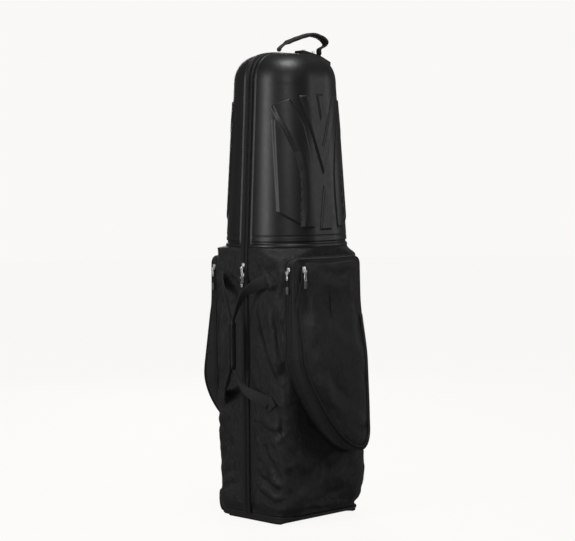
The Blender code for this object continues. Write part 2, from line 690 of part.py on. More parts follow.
def build_pockets(end, parent):
    """Both layers of the front pocket, or of the rear one, which is its mirror image."""
    inner = pocket_mesh(end + "_garment_pocket", 0.0, lambda side, height: body_depth(side),
                        POCKET_LAYER_SHARE)
    add_part(end + "_garment_pocket", inner if end == "front" else mirrored(inner), FABRIC, parent)
    outer = pocket_mesh(end + "_outer_pocket", POCKET_LAYER_INSET,
                        lambda side, height: pocket_face(side, height, POCKET_LAYER_SHARE), 1.0)
    add_part(end + "_outer_pocket", outer if end == "front" else mirrored(outer), FABRIC, parent)


# Zip sliders and their pulls
def seat_on(parent, place):
    """A world place in the space of the lid, or of the case where there is no parent."""
    return Vector(place) if parent is None else Vector(place) - parent.location


def facing(place, outward, up):
    """A placing whose local Y points outward and local Z points up along the zip."""
    across = outward.cross(up).normalized()
    rows = Matrix((across, outward.normalized(), up.normalized())).transposed()
    return Matrix.Translation(place) @ rows.to_4x4()


def slider_mesh(name):
    half = SLIDER_WIDTH / 2
    tip = SLIDER_PLATE + SLIDER_EAR_RISE
    cheek = half - SLIDER_EAR
    outline = [(-half, 0.0), (half, 0.0), (half, tip), (cheek, tip), (cheek, SLIDER_PLATE),
               (-cheek, SLIDER_PLATE), (-cheek, tip), (-half, tip)]
    return outline_mesh(name, outline, SLIDER_HEIGHT)


def stadium(half_width, length):
    """A bar with round ends, hanging from its upper round end's centre at the local origin."""
    arc = [(half_width * cos(pi * step / PULL_END_STEPS), half_width * sin(pi * step / PULL_END_STEPS))
           for step in range(PULL_END_STEPS + 1)]
    low = half_width - length
    return arc + [(-x, low - y) for x, y in arc]


def pull_width():
    return SLIDER_WIDTH - 2 * SLIDER_EAR - 2 * PULL_SIDE_GAP


def hang_flat(mesh, placing, slant, tilt):
    """Turns a mesh drawn flat in XY to hang in the placing's face, slanted aside and tilted outward."""
    lean = Matrix.Rotation(tilt, 4, "X") @ Matrix.Rotation(slant, 4, "Y")
    mesh.transform(placing @ lean @ Matrix.Rotation(pi / 2, 4, "X"))


def build_slider(name, place, outward, up, parent, length=PULL_LENGTH, slant=0.0, tilt=0.0, with_tab=True):
    """A slider on its zip's face, its pull on the slider's ears, and the pull's soft tab."""
    seat = Vector(place) + outward.normalized() * SLIDER_GAP
    body = slider_mesh(name + "_slider")
    body.transform(facing(Vector(), outward, up))
    ride = pivot("pivot_" + name + "_slider", seat_on(parent, seat), parent)
    add_local(name + "_slider", body, NICKEL, ride)
    axis_place = outward.normalized() * (SLIDER_PLATE + PULL_STANDOFF) - up.normalized() * SLIDER_HEIGHT / 2
    swing = pivot("pivot_" + name + "_pull", axis_place, ride)
    placing = facing(Vector(), outward, up)
    pull = outline_mesh(name + "_pull", stadium(pull_width() / 2, length), PULL_THICKNESS)
    hang_flat(pull, placing, slant, tilt)
    add_local(name + "_pull", pull, NICKEL, swing)
    if with_tab:
        tab_drop = length + FIT_GAP + TAB_LENGTH / 2
        tab = outline_mesh(name + "_tab", rounded_rectangle(TAB_WIDTH / 2, TAB_LENGTH / 2, TAB_ROUNDING),
                           TAB_THICKNESS)
        tab.transform(Matrix.Translation((0.0, -tab_drop, 0.0)))
        hang_flat(tab, placing, slant, tilt)
        add_local(name + "_tab", tab, TAB_RUBBER, swing)


def build_sliders(lid):
    up = Vector((0.0, 0.0, 1.0))
    sideways = Vector((-1.0, 0.0, 0.0))
    slope = Vector((SHELL_SLOPE, 0.0, 1.0)).normalized()
    slope_out = Vector((-slope.z, 0.0, slope.x))
    upper_out = shell_half(UPPER_SLIDER_HEIGHT) + ZIP_PROUD
    build_slider("main_upper", (-upper_out, 0.0, UPPER_SLIDER_HEIGHT), slope_out, slope, None,
                 slant=MAIN_PULL_SLANT, tilt=MAIN_PULL_TILT)
    build_slider("main_lower", (-ZIP_SIDE, 0.0, LOWER_SLIDER_HEIGHT), sideways, up, None, with_tab=False)
    face_high = pocket_face(OUTER_SLIDER_SIDE, POCKET_TOP_HEIGHT, 1.0)
    face_low = pocket_face(OUTER_SLIDER_SIDE, POCKET_BEND_HEIGHT, 1.0)
    lean = (face_low - face_high) / (POCKET_TOP_HEIGHT - POCKET_BEND_HEIGHT)
    half = SLIDER_WIDTH / 2
    fall = (pocket_face(OUTER_SLIDER_SIDE - half, OUTER_SLIDER_HEIGHT, 1.0)
            - pocket_face(OUTER_SLIDER_SIDE + half, OUTER_SLIDER_HEIGHT, 1.0)) / SLIDER_WIDTH
    rim = pocket_face(POCKET_NEAR_SIDE, INNER_SLIDER_HEIGHT, POCKET_LAYER_SHARE)
    face = pocket_face(OUTER_SLIDER_SIDE, OUTER_SLIDER_HEIGHT, 1.0)
    for end, forward, parent in (("front", -1.0, lid), ("rear", 1.0, None)):
        inner = forward * (rim - INNER_SLIDER_MARGIN - SLIDER_WIDTH / 2)
        build_slider(end + "_inner", (-POCKET_NEAR_SIDE, inner, INNER_SLIDER_HEIGHT), sideways, up, parent,
                     length=INNER_PULL_LENGTH)
        build_slider(end + "_outer", (-OUTER_SLIDER_SIDE, forward * face, OUTER_SLIDER_HEIGHT),
                     Vector((-fall, forward, lean)), Vector((0.0, -forward * lean, 1.0)), parent)


# Straps
def smooth_run(points, steps):
    """Points on a smooth curve through the given ones, with equally many steps between each two."""
    run = []
    last = len(points) - 1
    for index in range(last):
        start, end = points[index], points[index + 1]
        lead_in = (end - points[max(index - 1, 0)]) / 2
        lead_out = (points[min(index + 2, last)] - start) / 2
        for step in range(steps):
            share = step / steps
            run.append(curve_point(start, start + lead_in / 3, end - lead_out / 3, end, share))
    run.append(points[last])
    return run


def ribbon_sections(run, widths, thickness, width_ways):
    """Flat sections along a run of points, each with its own width and its own width direction."""
    sections = []
    last = len(run) - 1
    for index, point in enumerate(run):
        along = (run[min(index + 1, last)] - run[max(index - 1, 0)]).normalized()
        wide = width_ways[index].normalized() * widths[index] / 2
        flat = along.cross(wide).normalized() * thickness / 2
        sections.append([point + wide + flat, point - wide + flat, point - wide - flat, point + wide - flat])
    return sections


def build_carry_strap(end, forward, parent):
    """One strap on the zip side, from its upper sewn end through its half of the grip to its lower end."""
    sewn_out = -(BODY_HALF_WIDTH + STRAP_END_GAP + STRAP_THICKNESS / 2)
    origin = Vector((sewn_out, forward * STRAP_FORWARD, GRIP_TOP_HEIGHT))
    hinge = pivot("pivot_" + end + "_carry_strap", seat_on(parent, origin), parent)
    grip_line = forward * (ZIP_PARTING + GRIP_HALF_DEPTH / 2)
    grip_bottom = GRIP_TOP_HEIGHT - GRIP_LENGTH
    grip_ends = [Vector((-GRIP_OUT, grip_line, height)) - origin for height in (GRIP_TOP_HEIGHT, grip_bottom)]
    bow_out, bow_forward = sewn_out - STRAP_BOW, forward * STRAP_BOW_FORWARD
    upper = [Vector((sewn_out, forward * STRAP_FORWARD, STRAP_TOP_HEIGHT)) - origin,
             Vector((bow_out, bow_forward, STRAP_TOP_HEIGHT - STRAP_WIDTH)) - origin,
             grip_ends[0]]
    lower = [grip_ends[1],
             Vector((bow_out, bow_forward, STRAP_LOW_HEIGHT + STRAP_WIDTH)) - origin,
             Vector((sewn_out, forward * STRAP_FORWARD, STRAP_LOW_HEIGHT)) - origin]
    run = smooth_run(upper, STRAP_STEPS) + smooth_run(lower, STRAP_STEPS)
    outward = Vector((-1.0, 0.0, 0.0))
    widths, ways = [], []
    for index in range(len(run)):
        from_end = min(index, len(run) - 1 - index) / (2 * STRAP_STEPS)
        edge = Vector((0.0, 0.0, 1.0 if index <= 2 * STRAP_STEPS else -1.0))
        widths.append(STRAP_WIDTH + (STRAP_GRIP_WIDTH - STRAP_WIDTH) * from_end)
        ways.append(edge.lerp(outward, from_end))
    strap = loft_mesh(end + "_carry_strap", ribbon_sections(run, widths, STRAP_THICKNESS, ways))
    add_local(end + "_carry_strap", strap, WEBBING, hinge)
    ways = [outward, outward]
    hole_width, hole_thickness = STRAP_GRIP_WIDTH + 2 * FIT_GAP, STRAP_THICKNESS + 2 * FIT_GAP
    hole = ribbon_sections(grip_ends, [hole_width, hole_width], hole_thickness, ways)
    wrap = ribbon_sections(grip_ends, [GRIP_WIDTH, GRIP_WIDTH], GRIP_HALF_DEPTH, ways)
    add_local(end + "_carry_grip", sleeve_mesh(end + "_carry_grip", wrap, hole), WEBBING, hinge)


# Top handle
def shell_top(side, forward):
    """Height of the dome's surface over a point, taken where the rounded plan passes through that point."""
    low, high = 0.0, pi / 2
    for _ in range(40):
        turn = (low + high) / 2
        half, height = dome_level(turn)
        radius = shell_radius(half)
        flat = half - radius
        reach = Vector((max(abs(side) - flat, 0.0), max(abs(forward) - flat, 0.0))).length - radius
        if reach > 0.0:
            high = turn
        else:
            low = turn
    return dome_level(low)[1]


def dome_solid(name, grow):
    """The front half of the dome as a closed cutter, grown outward."""
    mesh = half_shell_mesh(name, shell_rings(grow), True)
    work = bmesh.new()
    work.from_mesh(mesh)
    bmesh.ops.holes_fill(work, edges=[edge for edge in work.edges if edge.is_boundary])
    bmesh.ops.recalc_face_normals(work, faces=work.faces)
    work.to_mesh(mesh)
    work.free()
    return add_cutter(name, mesh)


def handle_foot(side, forward):
    """Centre of a round foot of the handle's strap, just over the dome."""
    return Vector((side, forward, shell_top(side, forward) + HANDLE_FOOT_RADIUS + HANDLE_FOOT_GAP))


def build_top_handle(lid):
    left = handle_foot(-HANDLE_LEFT_SIDE, -HANDLE_LEFT_FORWARD)
    right = handle_foot(HANDLE_RIGHT_SIDE, -HANDLE_RIGHT_FORWARD)
    span = right - left
    across = span.cross(Vector((0.0, 0.0, 1.0))).normalized()
    rise = across.cross(span).normalized()
    hinge = pivot("pivot_top_handle", seat_on(lid, left), lid)
    arch = [span * share + rise * HANDLE_RISE * height for share, height in HANDLE_ARCH]
    foot = [rise * HANDLE_FOOT_RADIUS * drop for _, drop in HANDLE_FOOT_ROUND]
    run = foot + smooth_run(arch, HANDLE_STEPS) + [span + drop for drop in reversed(foot)]
    widths = [HANDLE_STRAP_WIDTH] * len(run)
    for index, (share, _) in enumerate(HANDLE_FOOT_ROUND):
        widths[index] = HANDLE_STRAP_WIDTH * share
        widths[-1 - index] = HANDLE_STRAP_WIDTH * share
    ways = [across] * len(run)
    sections = ribbon_sections(run, widths, HANDLE_STRAP_THICKNESS, ways)
    add_local("top_handle_strap", loft_mesh("top_handle_strap", sections), WEBBING, hinge)
    first, last = [len(foot) + point * HANDLE_STEPS for point in HANDLE_SLEEVE_POINTS]
    hole_width, hole_thickness = HANDLE_STRAP_WIDTH + 2 * FIT_GAP, HANDLE_STRAP_THICKNESS + 2 * FIT_GAP
    hole = ribbon_sections(run, [hole_width] * len(run), hole_thickness, ways)[first:last]
    wrap = ribbon_sections(run, [HANDLE_SLEEVE_WIDTH] * len(run), HANDLE_SLEEVE_THICKNESS, ways)[first:last]
    add_local("top_handle_sleeve", sleeve_mesh("top_handle_sleeve", wrap, hole), FABRIC, hinge)
    build_anchor(lid, right, span.normalized(), across, rise)


def build_anchor(lid, foot, along, across, rise):
    """The moulded pad on the dome that holds the right foot of the handle, and its two rivets."""
    placing = Matrix.Translation(foot) @ Matrix((along, -across, rise)).transposed().to_4x4()
    reach = HANDLE_STRAP_WIDTH + ANCHOR_WIDTH
    mesh = box_mesh("handle_anchor_pad", (-ANCHOR_LEFT_REACH, -ANCHOR_WIDTH / 2, -reach),
                    (ANCHOR_RIGHT_REACH, ANCHOR_WIDTH / 2, reach))
    mesh.transform(placing)
    pad = add_part("handle_anchor_pad", mesh, BASE_PLASTIC, lid)
    skin = pad.modifiers.new("follow_dome", "BOOLEAN")
    skin.operation = "INTERSECT"
    skin.object = dome_solid("anchor_outer_dome", ANCHOR_THICKNESS)
    cut(pad, dome_solid("anchor_inner_dome", FIT_GAP))
    slot_half = HANDLE_STRAP_THICKNESS / 2 + ANCHOR_SLOT_GAP
    slot_side = HANDLE_FOOT_RADIUS + ANCHOR_SWING_ROOM
    slot = box_mesh("anchor_slot", (-slot_half, -slot_side, -reach), (slot_half, slot_side, reach))
    slot.transform(placing)
    cut(pad, add_cutter("anchor_slot", slot))
    for end, inward in (("left", ANCHOR_LEFT_RIVET), ("right", ANCHOR_RIGHT_RIVET)):
        name = "anchor_rivet_" + end
        over = placing @ Vector((-inward, 0.0, 0.0))
        root = Vector((over.x, over.y, shell_top(over.x, over.y)))
        start = root + rise * FIT_GAP
        tip = root + rise * (ANCHOR_THICKNESS + ANCHOR_RIVET_HEIGHT)
        rivet = rod_mesh(name, start, tip, ANCHOR_RIVET_RADIUS, ANCHOR_RIVET_STEPS)
        add_part(name, rivet, NICKEL, lid)
        hole = rod_mesh(name + "_hole", start - rise * reach, tip + rise * reach,
                        ANCHOR_RIVET_RADIUS + FIT_GAP, ANCHOR_RIVET_STEPS)
        cut(pad, add_cutter(name + "_hole", hole))


def build():
    lid = pivot("pivot_lid", LID_AXIS)
    build_shells(lid)
    build_body(lid)
    build_zip(lid)
    build_base()
    for side in (-1, 1):
        build_wheel(side)
    build_pockets("front", lid)
    build_pockets("rear", None)
    build_sliders(lid)
    build_carry_strap("front", -1.0, lid)
    build_carry_strap("rear", 1.0, None)
    build_top_handle(lid)


build()
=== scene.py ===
"""Looks of the hard-top golf travel case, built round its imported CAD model.

Metres, +Z up, the front faces -Y. Soft pieces are lofted sheets with folds,
and hard ones are finely lofted shells.
Every sheet carries a "cloth" attribute, metres along and across the material, which its weave follows.
"""
from math import cos, pi, radians, sin

import bmesh
import bpy
import numpy as np
from mathutils import Matrix, Vector, noise


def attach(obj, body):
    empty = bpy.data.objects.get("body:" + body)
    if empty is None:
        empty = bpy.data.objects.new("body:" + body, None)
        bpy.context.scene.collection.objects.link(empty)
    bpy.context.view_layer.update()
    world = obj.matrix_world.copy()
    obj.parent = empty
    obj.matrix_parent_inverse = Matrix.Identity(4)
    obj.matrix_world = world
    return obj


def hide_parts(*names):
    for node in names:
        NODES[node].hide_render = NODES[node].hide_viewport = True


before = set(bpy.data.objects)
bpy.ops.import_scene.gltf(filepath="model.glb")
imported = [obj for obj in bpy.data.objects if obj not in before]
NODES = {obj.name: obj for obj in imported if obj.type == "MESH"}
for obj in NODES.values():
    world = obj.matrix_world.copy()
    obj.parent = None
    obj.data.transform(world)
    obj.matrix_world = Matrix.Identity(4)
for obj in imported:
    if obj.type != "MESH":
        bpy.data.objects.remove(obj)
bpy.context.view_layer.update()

# Sizes repeated from the part's source
CUT = 0.013
BODY_HALF_WIDTH = 0.156
BODY_HALF_DEPTH = 0.152
BODY_CORNER_RADIUS = 0.060
BODY_BOTTOM = 0.0233
BODY_TOP = 0.7517
BODY_NECK = 0.028
REAR_NECK = 0.005
FOOT_INSET = 0.005
FOOT_HEIGHT = 0.035
SHELL_BASE = 0.752
SHELL_RIM_HALF = 0.155
SHELL_SHOULDER_HALF = 0.1305
SHOULDER = 1.190
CREST = 1.280
DOME_FLAT_HALF = 0.040
DOME_FULLNESS = 0.82
SHELL_WALL = 0.003
SHELL_ROUNDNESS = 0.80
ZIP_SIDE = 0.16136
ZIP_KINK = 0.692
ZIP_PROUD = 0.003
POCKET_NEAR = 0.134
POCKET_FAR = 0.118
POCKET_TOP = 0.723
POCKET_TURN = 0.456
POCKET_FAR_TURN = 0.255
POCKET_LOW = 0.189
POCKET_LOW_SIDE = 0.070

LID = "front_lid"
REAR = "rear_half"
HALF_TURN = Matrix.Rotation(pi, 4, "Z")


# Meshes
def grid_faces(rows, columns, closed=False):
    """Quads over a grid of points, rows by columns."""
    index = np.arange(rows * columns).reshape(rows, columns)
    after = np.roll(index, -1, axis=1)
    last = columns if closed else columns - 1
    quads = np.stack([index[:-1, :last], after[:-1, :last], after[1:, :last], index[1:, :last]], axis=-1)
    return quads.reshape(-1, 4)


def make_mesh(name, points, faces, cloth=None, wear_and_highlight_tint=None, smooth=True):
    """A mesh with its cloth coordinates, and with a tint from 0 to 1 for worn places and painted highlights.
    """
    mesh = bpy.data.meshes.new(name)
    mesh.from_pydata([tuple(p) for p in points], [], [tuple(int(i) for i in f) for f in faces])
    if cloth is not None:
        layer = mesh.attributes.new("cloth", "FLOAT_VECTOR", "POINT")
        flat = np.zeros((len(points), 3), np.float32)
        flat[:, :cloth.shape[1]] = cloth
        layer.data.foreach_set("vector", flat.ravel())
    if wear_and_highlight_tint is not None:
        layer = mesh.attributes.new("wear_and_highlight_tint", "FLOAT", "POINT")
        layer.data.foreach_set("value", np.asarray(wear_and_highlight_tint, np.float32))
    mesh.polygons.foreach_set("use_smooth", [smooth] * len(mesh.polygons))
    mesh.update()
    return mesh


def grid_mesh(name, grid, cloth=None, wear_and_highlight_tint=None, closed=False, flip=False):
    rows, columns = grid.shape[:2]
    faces = grid_faces(rows, columns, closed)
    if flip:
        faces = faces[:, ::-1]
    cloth = None if cloth is None else cloth.reshape(-1, cloth.shape[-1])
    wear_and_highlight_tint = None if wear_and_highlight_tint is None else np.broadcast_to(wear_and_highlight_tint, (rows, columns)).ravel()
    return make_mesh(name, grid.reshape(-1, 3), faces, cloth, wear_and_highlight_tint)


def join_meshes(name, meshes):
    """One mesh from several, keeping their attributes."""
    work = bmesh.new()
    for mesh in meshes:
        work.from_mesh(mesh)
    joined = bpy.data.meshes.new(name)
    work.to_mesh(joined)
    work.free()
    for mesh in meshes:
        bpy.data.meshes.remove(mesh)
    return joined


def sharpen(mesh, degrees):
    mesh.set_sharp_from_angle(angle=radians(degrees))


def add_piece(name, mesh, material, body, replaced=()):
    piece = bpy.data.objects.new(name, mesh)
    bpy.context.scene.collection.objects.link(piece)
    mesh.materials.clear()
    mesh.materials.append(material)
    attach(piece, body)
    if replaced:
        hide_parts(*replaced)
    return piece


def thicken(piece, thickness, offset=-1.0):
    wall = piece.modifiers.new("wall", "SOLIDIFY")
    wall.thickness = thickness
    wall.offset = offset
    wall.use_even_offset = False
    return piece


def turned(mesh):
    """The same mesh turned half way round, for the rear."""
    copy = mesh.copy()
    copy.transform(HALF_TURN)
    return copy


def grid_normals(grid):
    along = np.gradient(grid, axis=1)
    up = np.gradient(grid, axis=0)
    normal = np.cross(along, up)
    return normal / np.maximum(np.linalg.norm(normal, axis=-1, keepdims=True), 1e-12)


def smoothstep(low, high, value):
    share = np.clip((value - low) / (high - low), 0.0, 1.0)
    return share * share * (3.0 - 2.0 * share)


def line_distance(x, y, points):
    """Distance of each place from a broken line, and the share of the line's length nearest to it."""
    points = np.asarray(points, float)
    steps = np.linalg.norm(np.diff(points, axis=0), axis=1)
    starts = np.concatenate([[0.0], np.cumsum(steps)])
    best = np.full(np.broadcast(x, y).shape, 1e9)
    where = np.zeros(best.shape)
    for (ax, ay), (bx, by), begin, length in zip(points[:-1], points[1:], starts, steps):
        share = np.clip(((x - ax) * (bx - ax) + (y - ay) * (by - ay)) / (length * length), 0.0, 1.0)
        distance = np.hypot(x - ax - share * (bx - ax), y - ay - share * (by - ay))
        nearer = distance < best
        best = np.where(nearer, distance, best)
        where = np.where(nearer, (begin + share * length) / starts[-1], where)
    return best, where


def fold(x, y, points, rise, width):
    """A soft ridge or, with a negative rise, a crease along a line, dying away at its ends."""
    distance, where = line_distance(x, y, points)
    fade = smoothstep(0.0, 0.22, where) * smoothstep(0.0, 0.22, 1.0 - where)
    return rise * np.exp(-(distance / width) ** 2) * fade


def cloud(x, y, scale, seed, octaves=3):
    """Smooth noise between about -1 and 1."""
    flat = [noise.fractal(Vector((a / scale + 17.3 * seed, b / scale - 9.1 * seed, 0.37 * seed)), 1.0, 2.0,
                          octaves)
            for a, b in zip(x.ravel(), y.ravel())]
    return np.array(flat).reshape(x.shape)


def plan(half_x, half_y, radius, share):
    """Front half of a rounded plan: x, y and the signed girth from the front middle.

    The share runs from -1 at the cut edge on the -X side round the front to 1 at the cut edge on the +X side.
    """
    front = half_x - radius
    arc = radius * pi / 2
    girth = np.abs(share) * (front + arc + half_y - radius - CUT)
    turn = np.clip((girth - front) / radius, 0.0, pi / 2)
    on_side = np.maximum(girth - front - arc, 0.0)
    x = np.minimum(girth, front) + radius * np.sin(turn)
    y = radius - half_y - radius * np.cos(turn) + on_side
    return np.sign(share) * x, y, np.sign(share) * girth


# Materials
class Nodes:
    """A small helper for wiring one material's nodes."""

    def __init__(self, name):
        self.material = bpy.data.materials.new(name)
        self.material.use_nodes = True
        self.tree = self.material.node_tree
        self.shader = self.tree.nodes["Principled BSDF"]

    def new(self, kind, **settings):
        node = self.tree.nodes.new("ShaderNode" + kind)
        for key, value in settings.items():
            setattr(node, key, value)
        return node

    def wire(self, source, target):
        self.tree.links.new(source, target)

    def set(self, **values):
        for key, value in values.items():
            self.shader.inputs[key.replace("_", " ")].default_value = value

    def attribute(self, name):
        node = self.new("Attribute", attribute_name=name)
        return node.outputs

    def math(self, operation, first, second=0.0):
        node = self.new("Math", operation=operation)
        for socket, value in zip(node.inputs, (first, second)):
            if isinstance(value, (int, float)):
                socket.default_value = value
            else:
                self.wire(value, socket)
        return node.outputs[0]

    def noise(self, place, scale, detail=3.0, roughness=0.55):
        node = self.new("TexNoise")
        node.inputs["Scale"].default_value = scale
        node.inputs["Detail"].default_value = detail
        node.inputs["Roughness"].default_value = roughness
        self.wire(place, node.inputs["Vector"])
        return node.outputs["Fac"]

    def ramp(self, factor, stops):
        node = self.new("ValToRGB")
        elements = node.color_ramp.elements
        while len(elements) < len(stops):
            elements.new(0.5)
        for element, (place, colour) in zip(elements, stops):
            element.position = place
            element.color = (*colour, 1.0) if len(colour) == 3 else colour
        self.wire(factor, node.inputs["Fac"])
        return node.outputs["Color"]

    def blend(self, factor, first, second):
        node = self.new("Mix", data_type="RGBA")
        self.wire(factor, node.inputs["Factor"])
        for key, value in ((6, first), (7, second)):
            if isinstance(value, tuple):
                node.inputs[key].default_value = (*value, 1.0)
            else:
                self.wire(value, node.inputs[key])
        return node.outputs[2]

    def bump(self, height, distance, strength=1.0, under=None):
        node = self.new("Bump")
        node.inputs["Distance"].default_value = distance
        node.inputs["Strength"].default_value = strength
        self.wire(height, node.inputs["Height"])
        if under is not None:
            self.wire(under, node.inputs["Normal"])
        return node.outputs["Normal"]

    def place(self):
        return self.new("TexCoord").outputs["Object"]


def grey(value, warmth=0.0):
    return (value * (1.0 + warmth), value, value * (1.0 - warmth))


def weave_height(nodes, pitch_along, pitch_across):
    """Plain weave from the cloth coordinates: threads over and under, in metres of pitch."""
    parts = nodes.new("SeparateXYZ")
    nodes.wire(nodes.attribute("cloth")["Vector"], parts.inputs[0])
    along = nodes.math("SINE", nodes.math("MULTIPLY", parts.outputs[0], 2 * pi / pitch_along))
    across = nodes.math("SINE", nodes.math("MULTIPLY", parts.outputs[1], 2 * pi / pitch_across))
    return nodes.math("MULTIPLY", along, across)


def cloth_material(name, dark, light, pitch, roughness, sheen, grain=1.0, cross_pitch=None):
    nodes = Nodes(name)
    weave = weave_height(nodes, pitch, cross_pitch or pitch)
    place = nodes.place()
    patches = nodes.noise(place, 9.0, 4.0)
    fuzz = nodes.noise(place, 900.0, 2.0)
    shade = nodes.ramp(patches, [(0.30, dark), (0.72, light)])
    thread = nodes.math("MULTIPLY_ADD", weave, 0.22)
    nodes.tree.nodes[-1].inputs[2].default_value = 0.5
    colour = nodes.blend(nodes.math("MULTIPLY", thread, fuzz), shade,
                         tuple(min(1.0, 2.2 * c) for c in light))
    # Lighter where a mesh's tint marks wear and painted highlight.
    wear_and_highlight = nodes.attribute("wear_and_highlight_tint")["Fac"]
    nodes.wire(nodes.blend(wear_and_highlight, colour, tuple(2.6 * c for c in light)), nodes.shader.inputs["Base Color"])
    rough = nodes.new("MapRange")
    rough.inputs["To Min"].default_value = roughness - 0.08
    rough.inputs["To Max"].default_value = roughness + 0.08
    nodes.wire(patches, rough.inputs["Value"])
    nodes.wire(rough.outputs[0], nodes.shader.inputs["Roughness"])
    coarse = nodes.bump(nodes.noise(place, 70.0, 4.0), 0.0022 * grain, 0.55)
    nodes.wire(nodes.bump(weave, 0.00035, 0.5, coarse), nodes.shader.inputs["Normal"])
    nodes.set(Sheen_Weight=sheen, Sheen_Roughness=0.45, Specular_IOR_Level=0.40)
    return nodes.material


def plastic_material(name, dark, light, edge, roughness, grain_scale, grain_depth):
    """Moulded plastic with a fine grain, faint mottling, and lighter edges where the mesh's tint marks wear
    and painted highlight.
    """
    nodes = Nodes(name)
    place = nodes.place()
    mottle = nodes.noise(place, 14.0, 5.0)
    colour = nodes.ramp(mottle, [(0.28, dark), (0.75, light)])
    # The tint lightens the colour toward the edge colour: wear and painted highlight.
    wear_and_highlight = nodes.attribute("wear_and_highlight_tint")["Fac"]
    nodes.wire(nodes.blend(wear_and_highlight, colour, edge), nodes.shader.inputs["Base Color"])
    rough = nodes.new("MapRange")
    rough.inputs["To Min"].default_value = roughness - 0.05
    rough.inputs["To Max"].default_value = roughness + 0.09
    nodes.wire(nodes.noise(place, 55.0, 3.0), rough.inputs["Value"])
    nodes.wire(rough.outputs[0], nodes.shader.inputs["Roughness"])
    cells = nodes.new("TexVoronoi", feature="SMOOTH_F1")
    cells.inputs["Scale"].default_value = grain_scale
    nodes.wire(place, cells.inputs["Vector"])
    grain = nodes.bump(cells.outputs["Distance"], grain_depth, 0.5)
    fine = nodes.noise(place, grain_scale * 2.7, 2.0)
    nodes.wire(nodes.bump(fine, grain_depth * 0.5, 0.4, grain), nodes.shader.inputs["Normal"])
    nodes.set(Specular_IOR_Level=0.42)
    return nodes.material


def metal_material(name, low, high, roughness):
    nodes = Nodes(name)
    place = nodes.place()
    smear = nodes.noise(place, 260.0, 4.0)
    nodes.wire(nodes.ramp(smear, [(0.3, low), (0.7, high)]), nodes.shader.inputs["Base Color"])
    rough = nodes.new("MapRange")
    rough.inputs["To Min"].default_value = roughness - 0.06
    rough.inputs["To Max"].default_value = roughness + 0.10
    nodes.wire(smear, rough.inputs["Value"])
    nodes.wire(rough.outputs[0], nodes.shader.inputs["Roughness"])
    nodes.wire(nodes.bump(nodes.noise(place, 1400.0, 2.0), 0.00005, 0.4), nodes.shader.inputs["Normal"])
    nodes.set(Metallic=1.0)
    return nodes.material


SHELL_PLASTIC = plastic_material("satin_shell_plastic", grey(0.0046, 0.03), grey(0.0070, 0.02), grey(0.022),
                                 0.41,
                                 620.0, 0.00016)
BASE_PLASTIC = plastic_material("base_plastic", grey(0.006), grey(0.010), grey(0.022), 0.50, 480.0, 0.00020)
NYLON = cloth_material("black_nylon", grey(0.0018), grey(0.0040), 0.0011, 0.47, 0.04)
POCKET_NYLON = cloth_material("pocket_nylon", grey(0.0018), grey(0.0038), 0.0010, 0.52, 0.04)
LINING = cloth_material("lining_nylon", grey(0.012), grey(0.018), 0.0014, 0.80, 0.05)
WEBBING = cloth_material("black_webbing", grey(0.0032), grey(0.0075), 0.0016, 0.70, 0.08, 0.5, 0.0042)
GUSSET = cloth_material("zip_band_fabric", grey(0.0030), grey(0.0070), 0.0013, 0.72, 0.06, 0.6)
ZIP_TAPE = cloth_material("zip_tape", grey(0.0026), grey(0.0052), 0.0009, 0.70, 0.05, 0.4, 0.0018)
THREAD = cloth_material("thread", grey(0.010), grey(0.020), 0.0006, 0.70, 0.10, 0.3)
TEETH = plastic_material("zip_coil", grey(0.006), grey(0.012), grey(0.03), 0.36, 1500.0, 0.00005)
NICKEL = metal_material("nickel", (0.80, 0.79, 0.77), (0.94, 0.93, 0.91), 0.36)
STEEL = metal_material("axle_steel", (0.42, 0.42, 0.43), (0.60, 0.60, 0.61), 0.34)
RUBBER = plastic_material("black_rubber", grey(0.008), grey(0.015), grey(0.030), 0.72, 700.0, 0.00025)
TAB_RUBBER = plastic_material("grey_tab_rubber", grey(0.085), grey(0.130), grey(0.18), 0.60, 900.0, 0.00012)


# Hard shell
RELIEF_SHIFT = 0.006        # the relief's middle lies this far towards +X
RIB_RISE = 0.0042
# Places on the relief, as (girth from the middle, height)
GROOVE = ((-0.087, 0.804), (-0.085, 0.821), (-0.077, 0.910), (-0.079, 0.958), (-0.092, 1.010),
          (-0.118, 1.067),
          (-0.138, 1.097), (-0.152, 1.138))
RIDGE = ((-0.074, 0.810), (-0.064, 0.863), (-0.060, 0.909), (-0.062, 0.958), (-0.0755, 1.010),
         (-0.097, 1.0505),
         (-0.142, 1.132))
RIB_EDGE = ((-0.043, 0.804), (-0.038, 0.877), (-0.038, 0.947), (-0.045, 1.007), (-0.060, 1.077),
            (-0.099, 1.153))
ARM = ((0.0, 0.945), (-0.038, 1.059), (-0.072, 1.161), (-0.046, 1.162), (0.0, 1.022))
WEDGE = ((0.0, 1.088), (-0.013, 1.165), (0.0, 1.165))
STEM = ((0.0, 0.926), (-0.022, 0.797), (0.0, 0.797))


def along_line(points, height):
    """Girth of a line at a height."""
    girths, heights = zip(*points)
    return np.interp(height, heights, girths)


def inside(x, y, polygon):
    """Where places lie inside a polygon."""
    found = np.zeros(np.broadcast(x, y).shape, bool)
    for (ax, ay), (bx, by) in zip(polygon, polygon[1:] + polygon[:1]):
        if ay != by:
            crosses = ((ay > y) != (by > y)) & (x < (bx - ax) * (y - ay) / (by - ay) + ax)
            found ^= crosses
    return found


def raised(x, y, polygon, bevel):
    """A plateau from 0 to 1 inside a polygon, whose closing side is left open."""
    distance, _ = line_distance(x, y, polygon)
    return np.where(inside(x, y, polygon), smoothstep(0.0, bevel, distance), 0.0)


